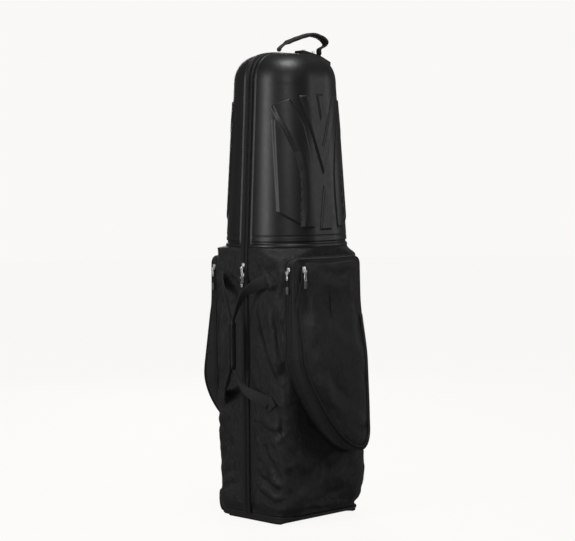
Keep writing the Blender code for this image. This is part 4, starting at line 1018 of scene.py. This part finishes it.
def pull_mesh(name, length):
    """A wire loop, narrow at the pin and wide at the foot, with a crossbar."""
    foot = 0.0026
    loop = (arc_points(0.0017, 0.0, 0.0, pi) + arc_points(foot, foot - length + WIRE, pi, 2 * pi))
    frame_wire = wire_mesh(name, loop, WIRE, closed=True)
    bar = wire_mesh(name, [(-0.0023, 0.0, -0.62 * length), (0.0, 0.0, -0.62 * length),
                           (0.0023, 0.0, -0.62 * length)],
                    0.0008)
    return join_meshes(name, [frame_wire, bar])


def cord_mesh(name, top, bottom):
    """The short cord loop between an inner pull and its tab."""
    return wire_mesh(name, arc_points(0.0011, top, 0.0, pi) + arc_points(0.0011, bottom, pi, 2 * pi), 0.0007,
                     closed=True, steps=6)


def tab_mesh(name, top):
    """A soft tab with a thicker middle and raised ridges across it."""
    outline = [(x, z + top) for x, z in TAB_OUTLINE]
    slab = plate_mesh(name, ([(x, -0.0015, z) for x, z in outline], [(x, 0.0015, z) for x, z in outline]),
                      0.0007)
    ridges = []
    for step in range(5):
        level = top - 0.0060 - 0.0026 * step
        for face in (-0.0014, 0.0014):
            ridges.append(wire_mesh(name,
                                    [(-0.0034, face, level), (0.0, face * 1.1, level),
                                     (0.0034, face, level)],
                                    0.00055, steps=6))
    return join_meshes(name, [slab, *ridges])


def frame_of(place, outward, up):
    across = outward.cross(up).normalized()
    rows = Matrix((across, outward.normalized(), up.normalized())).transposed()
    return Matrix.Translation(place) @ rows.to_4x4()


def build_slider(name, place, outward, up, length=PULL_LENGTH, slant=0.0, tilt=0.0, with_tab=True):
    outward, up = Vector(outward).normalized(), Vector(up).normalized()
    seat = Vector(place) + outward * SLIDER_GAP
    slider = slider_mesh(name + "_slider_looks")
    slider.transform(frame_of(seat, outward, up))
    add_piece(name + "_slider_looks", slider, NICKEL, name + "_slider_body", [name + "_slider"])
    axis = seat + outward * PULL_AXIS_OUT - up * SLIDER_HALF_HEIGHT
    hanging = (frame_of(axis, outward, up) @ Matrix.Rotation(tilt, 4, "X") @ Matrix.Rotation(slant, 4, "Y"))
    metal = PULL_LENGTH if length == PULL_LENGTH else 0.021
    pull = pull_mesh(name + "_pull_looks", metal)
    pull.transform(hanging)
    add_piece(name + "_pull_looks", pull, NICKEL, name + "_pull_body", [name + "_pull"])
    if with_tab:
        tab = tab_mesh(name + "_tab_looks", -length - 0.0003)
        tab.transform(hanging)
        add_piece(name + "_tab_looks", tab, TAB_RUBBER, name + "_pull_body", [name + "_tab"])
        cord = cord_mesh(name + "_pull_cord", -metal + 0.0040, -length - 0.0020)
        cord.transform(hanging)
        add_piece(name + "_pull_cord", cord, WEBBING, name + "_pull_body")


def build_sliders():
    slope = Vector((0.05594, 0.0, 1.0))
    build_slider("main_upper", (-0.1608, 0.0, 0.702), (-1.0, 0.0, 0.05594), slope, slant=radians(22.0),
                 tilt=radians(14.0))
    build_slider("main_lower", (-ZIP_SIDE, 0.0, 0.675), (-1.0, 0.0, 0.0), (0.0, 0.0, 1.0), with_tab=False)
    for end, forward in (("front", -1.0), ("rear", 1.0)):
        build_slider(end + "_inner", (-POCKET_NEAR, forward * 0.1520, 0.693), (-1.0, 0.0, 0.0),
                     (0.0, 0.0, 1.0),
                     length=INNER_PULL_LENGTH)
        build_slider(end + "_outer", (-0.100, forward * 0.1727, 0.695), (-0.0849, forward * 0.996, 0.0271),
                     (0.0, -forward * 0.0272, 0.9996))


# Straps
STRAP_THICKNESS = 0.0024
STRAP_WIDTH = 0.036
STRAP_GRIP_WIDTH = 0.010
STRAP_FORWARD = 0.092
STRAP_TOP = 0.664
STRAP_LOW = 0.331
GRIP_OUT = 0.20606
GRIP_TOP = 0.552
GRIP_LENGTH = 0.130
STRAP_STEPS = 26


def smooth_run(points, steps):
    """A smooth curve through points, with equally many steps between each two."""
    points = [np.asarray(point, float) for point in points]
    last = len(points) - 1
    run = []
    for index in range(last):
        start, end = points[index], points[index + 1]
        lead_in = (end - points[max(index - 1, 0)]) / 2
        lead_out = (points[min(index + 2, last)] - start) / 2
        run.append(bezier(start, start + lead_in / 3, end - lead_out / 3, end, steps + 1)[:-1])
    return np.concatenate([*run, points[last][None]])


def flat_section(width, thickness, steps=5):
    """A flat section with round edges, as (across, outward) points."""
    radius = thickness / 2
    right = [(width / 2 - radius + radius * cos(a), radius * sin(a)) for a in np.linspace(pi / 2, -pi / 2,
                                                                                          steps)]
    left = [(-x, -y) for x, y in right]
    return np.array(left + right)


def ribbon(name, run, widths, thickness, ways):
    """A strap along a run with its own width and width direction at each point."""
    along = unit(np.gradient(run, axis=0))
    wide = unit(ways - along * np.sum(ways * along, axis=1, keepdims=True))
    out = unit(np.cross(along, wide))
    rows = []
    for index in range(len(run)):
        section = flat_section(widths[index], thickness)
        rows.append(run[index] + wide[index] * section[:, :1] + out[index] * section[:, 1:])
    grid = np.stack(rows)
    length = np.broadcast_to(run_length(run)[:, None], grid.shape[:2])
    section = flat_section(float(np.mean(widths)), thickness)
    girth = np.concatenate([[0.0], np.cumsum(np.linalg.norm(np.diff(section, axis=0), axis=1))])
    cloth = np.stack([length, np.broadcast_to(girth, length.shape)], axis=-1)
    count, columns = grid.shape[:2]
    faces = [tuple(face) for face in grid_faces(count, columns, True)]
    faces.append(tuple(range(columns))[::-1])
    faces.append(tuple(range((count - 1) * columns, count * columns)))
    return make_mesh(name, grid.reshape(-1, 3), faces, cloth.reshape(-1, 2))


def closed_outward(mesh):
    """The mesh with its faces turned outward."""
    work = bmesh.new()
    work.from_mesh(mesh)
    bmesh.ops.recalc_face_normals(work, faces=work.faces)
    work.to_mesh(mesh)
    work.free()
    return mesh


def padded_tube(name, run, half_width, half_thick, ways, centre_shift=0.0, flat_side=0.0, steps=20):
    """A stuffed sleeve along a run, rounded, drawn in at both ends; one side may be flat."""
    along = unit(np.gradient(run, axis=0))
    wide = unit(ways - along * np.sum(ways * along, axis=1, keepdims=True))
    out = unit(np.cross(along, wide))
    share = run_length(run) / run_length(run)[-1]
    ends = 0.72 + 0.28 * smoothstep(0.0, 0.07, share) * smoothstep(0.0, 0.07, 1.0 - share)
    turns = -np.arange(steps) * 2 * pi / steps
    shape_w = np.sign(np.cos(turns)) * np.abs(np.cos(turns)) ** 0.75
    shape_t = np.sign(np.sin(turns)) * np.abs(np.sin(turns)) ** 0.80
    shape_t = np.where(shape_t < 0.0, shape_t * (1.0 - flat_side), shape_t)
    rows = []
    for index in range(len(run)):
        crease = 1.0 + 0.05 * sin(share[index] * 31.0) * ends[index]
        rows.append(run[index] + wide[index] * (shape_w * half_width * ends[index])[:, None]
                    + out[index] * ((shape_t * half_thick * ends[index] * crease) + centre_shift)[:, None])
    grid = np.stack(rows)
    length = np.broadcast_to(run_length(run)[:, None], grid.shape[:2])
    cloth = np.stack([np.broadcast_to(turns * (half_width + half_thick) / 2, length.shape), length], axis=-1)
    count, columns = grid.shape[:2]
    faces = [tuple(face) for face in grid_faces(count, columns, True)]
    faces.append(tuple(range(columns))[::-1])
    faces.append(tuple(range((count - 1) * columns, count * columns)))
    return closed_outward(make_mesh(name, grid.reshape(-1, 3), faces, cloth.reshape(-1, 2)))


def sewn_patch(name, place, outward, along, size, body):
    """A stitched patch where a strap's end is sewn down, with a box of stitches and a cross in it."""
    outward, along = Vector(outward).normalized(), Vector(along).normalized()
    placing = frame_of(Vector(place), outward, along)
    half_w, half_h = size[0] / 2, size[1] / 2
    outline = [(-half_w, -half_h), (half_w, -half_h), (half_w, half_h), (-half_w, half_h)]
    patch = plate_mesh(name, ([(x, -0.0006, z) for x, z in outline], [(x, 0.0014, z) for x, z in outline]),
                       0.0006)
    patch.transform(placing)
    layer = patch.attributes.new("cloth", "FLOAT_VECTOR", "POINT")
    layer.data.foreach_set("vector", np.array([v.co for v in patch.vertices], np.float32)[:,
                                                                                          [1, 2, 0]].ravel())
    add_piece(name, patch, WEBBING, body)
    inset = 0.0035
    a, b = half_w - inset, half_h - inset
    lines = [((-a, -b), (a, -b)), ((a, -b), (a, b)), ((a, b), (-a, b)), ((-a, b), (-a, -b)),
             ((-a, -b), (a, b)),
             ((-a, b), (a, -b))]
    rows = []
    for (ax, az), (bx, bz) in lines:
        run = np.array([placing @ Vector((ax + (bx - ax) * s, 0.0015,
                                          az + (bz - az) * s)) for s in np.linspace(0, 1, 9)])
        rows.append(blocks(name, run, np.repeat([list(outward)], 9, axis=0), 0.0032,
                           (0.0022, 0.0006, 0.0006), 0.0001))
    add_piece(name + "_stitches", join_meshes(name + "_stitches", rows), THREAD, body)


def build_carry_straps():
    """The two straps on the zip side, each with its half of the wrapped grip."""
    sewn = -(BODY_HALF_WIDTH + 0.0006 + STRAP_THICKNESS / 2)
    bow = sewn - 0.036
    grip_low = GRIP_TOP - GRIP_LENGTH
    for end, forward, holder in (("front", -1.0, LID), ("rear", 1.0, REAR)):
        grip = forward * 0.0045
        upper = smooth_run([(sewn, forward * STRAP_FORWARD, STRAP_TOP),
                            (bow, forward * 0.0386, STRAP_TOP - STRAP_WIDTH), (-GRIP_OUT, grip, GRIP_TOP)],
                           STRAP_STEPS)
        lower = smooth_run([(-GRIP_OUT, grip, grip_low), (bow, forward * 0.0386, STRAP_LOW + STRAP_WIDTH),
                            (sewn, forward * STRAP_FORWARD, STRAP_LOW)], STRAP_STEPS)
        held = np.linspace(upper[-1], lower[0], 14)[1:-1]
        run = np.concatenate([upper, held, lower])
        from_end = np.concatenate([np.linspace(0, 1, len(upper)), np.ones(len(held)),
                                   np.linspace(1, 0, len(lower))])
        from_end = smoothstep(0.0, 1.0, from_end)
        sign = np.concatenate([np.ones(len(upper)), np.zeros(len(held)), -np.ones(len(lower))])
        ways = np.stack([-from_end, np.zeros(len(run)), sign * (1.0 - from_end) + 1e-6], axis=1)
        widths = STRAP_WIDTH + (STRAP_GRIP_WIDTH - STRAP_WIDTH) * from_end
        body = end + "_carry_handle"
        strap = closed_outward(ribbon(end + "_carry_strap_looks", run, widths, STRAP_THICKNESS, ways))
        add_piece(end + "_carry_strap_looks", strap, WEBBING, body, [end + "_carry_strap"])
        line = np.stack([np.full(40, -GRIP_OUT), np.full(40, forward * 0.0047),
                         np.linspace(GRIP_TOP, grip_low, 40)], axis=1)
        outward = np.repeat([[-1.0, 0.0, 0.0]], 40, axis=0)
        pad = padded_tube(end + "_carry_grip_looks", line, 0.0092, 0.0044, outward)
        piece = add_piece(end + "_carry_grip_looks", pad, NYLON, body, [end + "_carry_grip"])
        slope = Vector((0.0, -forward * 0.62, -0.78))
        sewn_patch(end + "_strap_patch_upper", (-BODY_HALF_WIDTH - 0.0012, forward * (STRAP_FORWARD + 0.004),
                                                STRAP_TOP + 0.002), (-1.0, 0.0, 0.0), slope, (0.036, 0.030),
                   holder)
        slope = Vector((0.0, -forward * 0.62, 0.78))
        sewn_patch(end + "_strap_patch_lower", (-BODY_HALF_WIDTH - 0.0012, forward * (STRAP_FORWARD + 0.004),
                                                STRAP_LOW - 0.002), (-1.0, 0.0, 0.0), slope, (0.036, 0.030),
                   holder)


# Top handle
HANDLE_LEFT = (-0.042, -0.024)
HANDLE_RIGHT = (0.086, -0.048)
HANDLE_WIDTH = 0.024
HANDLE_RISE = 0.048
HANDLE_ARCH = ((0.0, 0.0), (0.14, 0.32), (0.45, 0.72), (0.76, 1.0), (1.0, 0.92), (1.13, 0.70), (1.12, 0.46),
               (1.0, 0.24), (1.0, 0.0))
HANDLE_FOOT = ((0.50, -0.72), (0.86, -0.42))
HANDLE_STEPS = 12


def shell_top(side, forward):
    """Height of the dome over a point."""
    low, high = 0.0, pi / 2
    for _ in range(40):
        turn = (low + high) / 2
        half, height = dome_level(turn)
        radius = float(shell_radius(half))
        flat = half - radius
        reach = Vector((max(abs(side) - flat, 0.0), max(abs(forward) - flat, 0.0))).length - radius
        if reach > 0.0:
            high = turn
        else:
            low = turn
    return float(dome_level(low)[1])


def handle_foot(place):
    return Vector((*place, shell_top(*place) + HANDLE_WIDTH / 2 + 0.0012))


def build_top_handle():
    left, right = handle_foot(HANDLE_LEFT), handle_foot(HANDLE_RIGHT)
    span = right - left
    across = span.cross(Vector((0.0, 0.0, 1.0))).normalized()
    rise = across.cross(span).normalized()
    arch = [left + span * share + rise * HANDLE_RISE * height for share, height in HANDLE_ARCH]
    run = smooth_run([tuple(point) for point in arch], HANDLE_STEPS)
    half = HANDLE_WIDTH / 2
    first_foot = [np.array(left + rise * half * drop) for _, drop in HANDLE_FOOT]
    last_foot = [np.array(right + rise * half * drop) for _, drop in reversed(HANDLE_FOOT)]
    run = np.concatenate([first_foot, run, last_foot])
    widths = np.full(len(run), HANDLE_WIDTH)
    widths[[0, -1]] *= HANDLE_FOOT[0][0]
    widths[[1, -2]] *= HANDLE_FOOT[1][0]
    ways = np.repeat([list(across)], len(run), axis=0)
    strap = closed_outward(ribbon("top_handle_strap_looks", run, widths, 0.0030, ways))
    add_piece("top_handle_strap_looks", strap, WEBBING, "top_handle", ["top_handle_strap"])
    start, stop = 2 + HANDLE_STEPS, 2 + 6 * HANDLE_STEPS
    part = resample(run[start:stop], 90)
    sleeve = padded_tube("top_handle_sleeve_looks", part, 0.0155, 0.0058,
                         np.repeat([list(across)], 90, axis=0))
    piece = add_piece("top_handle_sleeve_looks", sleeve, NYLON, "top_handle",
                      ["top_handle_sleeve"])
    rows = []
    out = np.cross(unit(np.gradient(part, axis=0)), np.repeat([list(across)], 90, axis=0))
    for side in (-0.0118, 0.0118):
        for face in (-1.0, 1.0):
            edge = part[6:-6] + np.array(across) * side
            rows.append(blocks("seam", edge, out[6:-6] * face, 0.0034, (0.0023, 0.0006, 0.0006), 0.0048))
    add_piece("top_handle_stitches", join_meshes("top_handle_stitches", rows), THREAD, "top_handle")


# Base and wheels
TRAY_X = 0.147
TRAY_Y = 0.148
TRAY_RADIUS = 0.056
TRAY_NOTCH_X = 0.0937
TRAY_NOTCH_Y = 0.0887
TRAY_LIFT = 0.018
TRAY_REACH = 0.036
WHEEL_SIDE = 0.112
WHEEL_BACK = 0.126
AXLE_HEIGHT = 0.033


def tray_outline():
    """The tray seen from above: round in front, stepped in at the rear corners where the wheels stand."""
    turns = np.linspace(0.0, pi / 2, 16)
    right = [(TRAY_X - TRAY_RADIUS + TRAY_RADIUS * sin(turn), TRAY_RADIUS - TRAY_Y - TRAY_RADIUS * cos(turn))
             for turn in turns]
    front = [(x, -TRAY_Y) for x in np.linspace(0.0, right[0][0], 10)[:-1]]
    side = [(TRAY_X, y) for y in np.linspace(right[-1][1], TRAY_NOTCH_Y, 12)[1:]]
    notch = [(x, TRAY_NOTCH_Y) for x in np.linspace(TRAY_X, TRAY_NOTCH_X, 5)[1:]]
    back = [(TRAY_NOTCH_X, y) for y in np.linspace(TRAY_NOTCH_Y, TRAY_Y, 6)[1:]]
    rear = [(x, TRAY_Y) for x in np.linspace(TRAY_NOTCH_X, 0.0, 10)[1:]]
    half = front + right + side + notch + back + rear
    return np.array(half + [(-x, y) for x, y in reversed(half[1:-1])])


def build_tray():
    """The moulded base: a sole lifting towards the front, upright sides and a bead along its upper edge."""
    outline = tray_outline()
    normal = unit(np.roll(outline, -1, axis=0) - np.roll(outline, 1, axis=0))
    normal = np.stack([normal[:, 1], -normal[:, 0]], axis=1)
    rings = []
    sole_front = TRAY_REACH - TRAY_Y
    for inset, level in ((0.0060, 0.0), (0.0022, 0.0007), (0.0004, 0.0028), (0.0, 0.0060), (0.0, 0.0120),
                         (0.0, 0.0150),
                         (-0.0022, 0.0162), (-0.0030, 0.0185), (-0.0026, 0.0212), (-0.0006, 0.0226),
                         (0.0030, 0.0229)):
        ring = outline - normal * inset
        forward = np.clip((sole_front - ring[:, 1]) / TRAY_REACH, 0.0, 1.0)
        height = np.maximum(level, TRAY_LIFT * 0.80 * forward + 0.2 * level * forward)
        rings.append(np.stack([ring[:, 0], ring[:, 1], height], axis=1))
    grid = np.stack(rings)
    rows, columns = grid.shape[:2]
    faces = [tuple(face) for face in grid_faces(rows, columns, True)]
    faces.append(tuple(range(columns))[::-1])
    faces.append(tuple(range((rows - 1) * columns, rows * columns)))
    wear_and_highlight_tint = np.zeros((rows, columns))
    # Painted highlight: the bead's rows along the upper edge are lighter.
    wear_and_highlight_tint[6:9] = 0.35
    mesh = closed_outward(make_mesh("base_tray_looks", grid.reshape(-1, 3), faces, None, wear_and_highlight_tint.ravel()))
    sharpen(mesh, 40)
    add_piece("base_tray_looks", mesh, BASE_PLASTIC, REAR, ["base_tray"])


# Side view of a wheel housing as (from the axle to the rear, height), and the part of it that is walled in
HOUSING_SIDE = ((-0.0370, 0.0060), (-0.0370, 0.0640), (-0.0352, 0.0684), (-0.0310, 0.0700), (0.0080, 0.0700),
                (0.0165, 0.0680), (0.0212, 0.0630), (0.0232, 0.0540), (0.0236, 0.0390), (0.0226, 0.0270),
                (0.0196, 0.0160), (0.0140, 0.0086), (0.0080, 0.0060))
HOUSING_WALLED = 7
HOUSING_HALF = 0.0180
CHEEK = 0.0045
# The tray's rounded corner outside each housing
CORNER_X = 0.091
CORNER_Y = 0.092
CORNER_RADIUS = 0.055
# The lip that closes the housing against the inside of the fabric:
# (first x, last x, bottom, top) of its strips
LIP_STRIPS = ((0.0740, 0.1340, 0.0640, 0.0780), (0.0740, 0.0946, 0.0100, 0.0650))
LIP_BACK = 0.0535
LIP_FLAT = 0.096
LIP_THICK = 0.0025


def build_housings():
    """Wheel housings with rounded cheeks, walled in front and above, open to the rear and below."""
    for end, side in (("left", -1.0), ("right", 1.0)):
        plates = []
        for face in (-1.0, 1.0):
            outer = side * WHEEL_SIDE + face * HOUSING_HALF
            inner = outer - face * CHEEK
            plates.append(plate_mesh("cheek", ([(outer, WHEEL_BACK + y, z) for y, z in HOUSING_SIDE],
                                               [(inner, WHEEL_BACK + y, z) for y, z in HOUSING_SIDE]),
                                     0.0012))
        reach = HOUSING_HALF - CHEEK + 0.0005
        walled = np.array(HOUSING_SIDE[:HOUSING_WALLED])
        away = unit(np.gradient(walled, axis=0))
        inside_line = walled + np.stack([away[:, 1], -away[:, 0]], axis=1) * CHEEK
        outline = np.concatenate([walled, inside_line[::-1]])
        low = [(side * WHEEL_SIDE - reach, WHEEL_BACK + y, z) for y, z in outline]
        high = [(side * WHEEL_SIDE + reach, WHEEL_BACK + y, z) for y, z in outline]
        plates.append(plate_mesh("web", (low, high), 0.0004))
        for first, last, bottom, top in LIP_STRIPS:
            along = np.linspace(first, last, 12)
            back = CORNER_Y + np.sqrt(LIP_BACK ** 2 - np.maximum(along - LIP_FLAT, 0.0) ** 2)
            strip = [(side * x, y) for x, y in zip(along, back)]
            strip += [(x, y - LIP_THICK) for x, y in reversed(strip)]
            plates.append(plate_mesh("lip", ([(x, y, bottom) for x, y in strip],
                                             [(x, y, top) for x, y in strip]), 0.0004))
        name = "wheel_housing_looks_" + end
        add_piece(name, join_meshes(name, plates), BASE_PLASTIC, REAR, ["wheel_housing_" + end])
        arc = [(CORNER_X + CORNER_RADIUS * cos(turn), CORNER_Y + CORNER_RADIUS * sin(turn))
               for turn in np.linspace(0.0, radians(44.0), 9)]
        start = side * WHEEL_SIDE + side * (HOUSING_HALF + 0.0006)
        outline = [(start, TRAY_NOTCH_Y - 0.0004), (side * arc[0][0], TRAY_NOTCH_Y - 0.0004)]
        outline += [(side * x, y) for x, y in arc] + [(start, arc[-1][1])]
        corner = plate_mesh("tray_corner_" + end, ([(x, y, 0.0040) for x, y in outline],
                                                   [(x, y, 0.0228) for x, y in outline]), 0.0008)
        add_piece("tray_corner_" + end, corner, BASE_PLASTIC, REAR)


def turned_mesh(name, profile, centre, steps=56):
    """A closed profile of (radius, along) points turned about a line parallel to X."""
    turns = np.arange(steps) * 2 * pi / steps
    profile = np.asarray(profile, float)
    grid = np.stack([np.broadcast_to(profile[:, 1], (steps, len(profile))),
                     np.cos(turns)[:, None] * profile[:, 0], np.sin(turns)[:, None] * profile[:, 0]],
                    axis=-1)
    grid = np.concatenate([grid, grid[:1]]) + np.asarray(centre)
    mesh = make_mesh(name, grid[:-1].reshape(-1, 3), ring_faces(steps, len(profile)))
    return closed_outward(mesh)


def ring_faces(rows, columns):
    """Quads over a grid that closes on itself both ways."""
    index = np.arange(rows * columns).reshape(rows, columns)
    right, below = np.roll(index, -1, axis=1), np.roll(index, -1, axis=0)
    corner = np.roll(right, -1, axis=0)
    return np.stack([index, right, corner, below], axis=-1).reshape(-1, 4)


HUB_PROFILE = ((0.0043, 0.0110), (0.0080, 0.0110), (0.0086, 0.0104), (0.0100, 0.0066), (0.0165, 0.0058),
               (0.0176, 0.0076), (0.0196, 0.0077), (0.0200, 0.0070), (0.0200, -0.0070), (0.0196, -0.0077),
               (0.0176, -0.0076), (0.0165, -0.0058), (0.0100, -0.0066), (0.0086, -0.0104), (0.0080, -0.0110),
               (0.0043, -0.0110))
TYRE_PROFILE = ((0.0203, 0.0074), (0.0208, 0.0086), (0.0240, 0.0088), (0.0268, 0.0084), (0.0288, 0.0070),
                (0.0298, 0.0050),
                (0.0300, 0.0022), (0.0292, 0.0016), (0.0292, 0.0006), (0.0300, 0.0), (0.0292, -0.0006),
                (0.0292, -0.0016),
                (0.0300, -0.0022), (0.0298, -0.0050), (0.0288, -0.0070), (0.0268, -0.0084),
                (0.0240, -0.0088),
                (0.0208, -0.0086), (0.0203, -0.0074))


def build_wheels():
    for end, side in (("left", -1.0), ("right", 1.0)):
        centre = Vector((side * WHEEL_SIDE, WHEEL_BACK, AXLE_HEIGHT))
        hub = turned_mesh("hub", HUB_PROFILE, centre)
        spokes = []
        for step in range(6):
            turn = step * pi / 3
            ahead = Vector((0.0, cos(turn), sin(turn)))
            beside = Vector((0.0, -sin(turn), cos(turn)))
            for face in (-1.0, 1.0):
                low = [centre + ahead * r + beside * w + Vector((face * 0.0050, 0, 0))
                       for r, w in ((0.0090, -0.0022), (0.0180, -0.0014), (0.0180, 0.0014),
                                    (0.0090, 0.0022))]
                high = [point + Vector((face * 0.0024, 0, 0)) for point in low]
                spokes.append(plate_mesh("spoke", (low, high), 0.0005))
        mesh = join_meshes("wheel_hub_looks_" + end, [hub, *spokes])
        sharpen(mesh, 40)
        add_piece("wheel_hub_looks_" + end, mesh, BASE_PLASTIC, "wheel_" + end, ["wheel_hub_" + end])
        tyre = turned_mesh("wheel_tyre_looks_" + end, TYRE_PROFILE, centre, 72)
        sharpen(tyre, 50)
        add_piece("wheel_tyre_looks_" + end, tyre, RUBBER, "wheel_" + end, ["wheel_tyre_" + end])


def dress_nodes():
    """Finishes of the CAD nodes that stay in sight."""
    finishes = {"slider": NICKEL, "pull": NICKEL, "tab": TAB_RUBBER, "rivet": NICKEL, "axle": STEEL,
                "tyre": RUBBER,
                "hub": BASE_PLASTIC, "housing": BASE_PLASTIC, "tray": BASE_PLASTIC, "board": LINING,
                "anchor": BASE_PLASTIC, "strap": WEBBING, "grip": WEBBING, "sleeve": NYLON}
    for name, node in NODES.items():
        for word, material in finishes.items():
            if word in name:
                node.data.materials.clear()
                node.data.materials.append(material)
                break


build_shells()
build_bodies()
build_main_zip()
build_pocket("front", LID)
build_pocket("rear", REAR)
build_sliders()
build_carry_straps()
build_top_handle()
build_tray()
build_housings()
build_wheels()
dress_nodes()


# Studio
BACKGROUND = (0.947, 0.939, 0.922)


def build_stage():
    work = bmesh.new()
    bmesh.ops.create_circle(work, cap_ends=True, radius=14.0, segments=96)
    mesh = bpy.data.meshes.new("floor")
    work.to_mesh(mesh)
    work.free()
    floor = bpy.data.objects.new("floor", mesh)
    bpy.context.scene.collection.objects.link(floor)
    nodes = Nodes("pale_floor")
    soft = nodes.noise(nodes.place(), 0.7, 2.0)
    nodes.wire(nodes.ramp(soft, [(0.2, (0.030, 0.030, 0.029)), (0.8, (0.036, 0.036, 0.035))]),
               nodes.shader.inputs["Base Color"])
    nodes.set(Roughness=0.9, Specular_IOR_Level=0.1, Emission_Color=(*BACKGROUND, 1.0))
    seen = nodes.new("LightPath").outputs["Is Camera Ray"]
    nodes.wire(nodes.math("MULTIPLY_ADD", seen, 0.86), nodes.shader.inputs["Emission Strength"])
    nodes.tree.nodes[-1].inputs[2].default_value = 0.12
    mesh.materials.append(nodes.material)
    world = bpy.data.worlds.new("studio")
    bpy.context.scene.world = world
    world.use_nodes = True
    tree = world.node_tree
    shown = tree.nodes["Background"]
    shown.inputs["Color"].default_value = (*BACKGROUND, 1.0)
    lighting = tree.nodes.new("ShaderNodeBackground")
    lighting.inputs["Color"].default_value = (0.95, 0.97, 1.0, 1.0)
    lighting.inputs["Strength"].default_value = 0.13
    path = tree.nodes.new("ShaderNodeLightPath")
    mixer = tree.nodes.new("ShaderNodeMixShader")
    tree.links.new(path.outputs["Is Camera Ray"], mixer.inputs[0])
    tree.links.new(lighting.outputs[0], mixer.inputs[1])
    tree.links.new(shown.outputs[0], mixer.inputs[2])
    tree.links.new(mixer.outputs[0], tree.nodes["World Output"].inputs["Surface"])


def add_light(name, place, target, size, power, colour=(1.0, 1.0, 1.0)):
    lamp = bpy.data.lights.new(name, "AREA")
    lamp.shape = "RECTANGLE"
    lamp.size, lamp.size_y = size
    lamp.energy = power
    lamp.color = colour
    holder = bpy.data.objects.new(name, lamp)
    holder.location = place
    holder.rotation_euler = (Vector(target) - Vector(place)).to_track_quat("-Z", "Y").to_euler()
    holder.visible_camera = False
    bpy.context.scene.collection.objects.link(holder)


def build_lights():
    add_light("key", (-3.3, 0.40, 1.45), (0.0, 0.0, 0.80), (0.55, 1.9), 50.0)
    add_light("front", (-2.3, -3.2, 2.1), (0.0, 0.0, 0.55), (0.6, 1.0), 26.0)
    add_light("fill", (2.7, -2.2, 1.3), (0.0, 0.0, 0.7), (0.6, 1.6), 15.0)
    add_light("top", (-0.2, -0.6, 3.2), (0.0, 0.0, 0.9), (0.9, 0.9), 42.0)
    add_light("back", (1.8, 2.6, 1.5), (0.0, 0.0, 0.7), (1.2, 1.6), 24.0)


# Camera
VIEW_DIRECTION = Vector((-0.68, -0.73, 0.0)).normalized()
VIEW_DISTANCE = 5.13
VIEW_HEIGHT = 0.979
VIEW_TILT = radians(3.33)
VIEW_ROLL = radians(0.6)
VIEW_TURN = radians(-0.02)
FOCUS_PIXELS = 1845.0
IMAGE_WIDTH = 575.0


def build_camera():
    camera = bpy.data.cameras.new("camera")
    camera.sensor_fit = "HORIZONTAL"
    camera.sensor_width = 36.0
    camera.lens = 36.0 * FOCUS_PIXELS / IMAGE_WIDTH
    camera.clip_end = 100.0
    holder = bpy.data.objects.new("camera", camera)
    bpy.context.scene.collection.objects.link(holder)
    place = VIEW_DIRECTION * VIEW_DISTANCE + Vector((0.0, 0.0, VIEW_HEIGHT))
    forward = Matrix.Rotation(VIEW_TURN, 3, "Z") @ -VIEW_DIRECTION
    right = forward.cross(Vector((0.0, 0.0, 1.0)))
    forward = Matrix.Rotation(-VIEW_TILT, 3, right) @ forward
    upward = right.cross(forward)
    rolled_up = upward * cos(VIEW_ROLL) + right * sin(VIEW_ROLL)
    rolled_right = right * cos(VIEW_ROLL) - upward * sin(VIEW_ROLL)
    turn = Matrix((rolled_right, rolled_up, -forward)).transposed().to_4x4()
    holder.matrix_world = Matrix.Translation(place) @ turn
    bpy.context.scene.camera = holder


build_stage()
build_lights()
build_camera()
bpy.context.scene.view_settings.view_transform = "Standard"
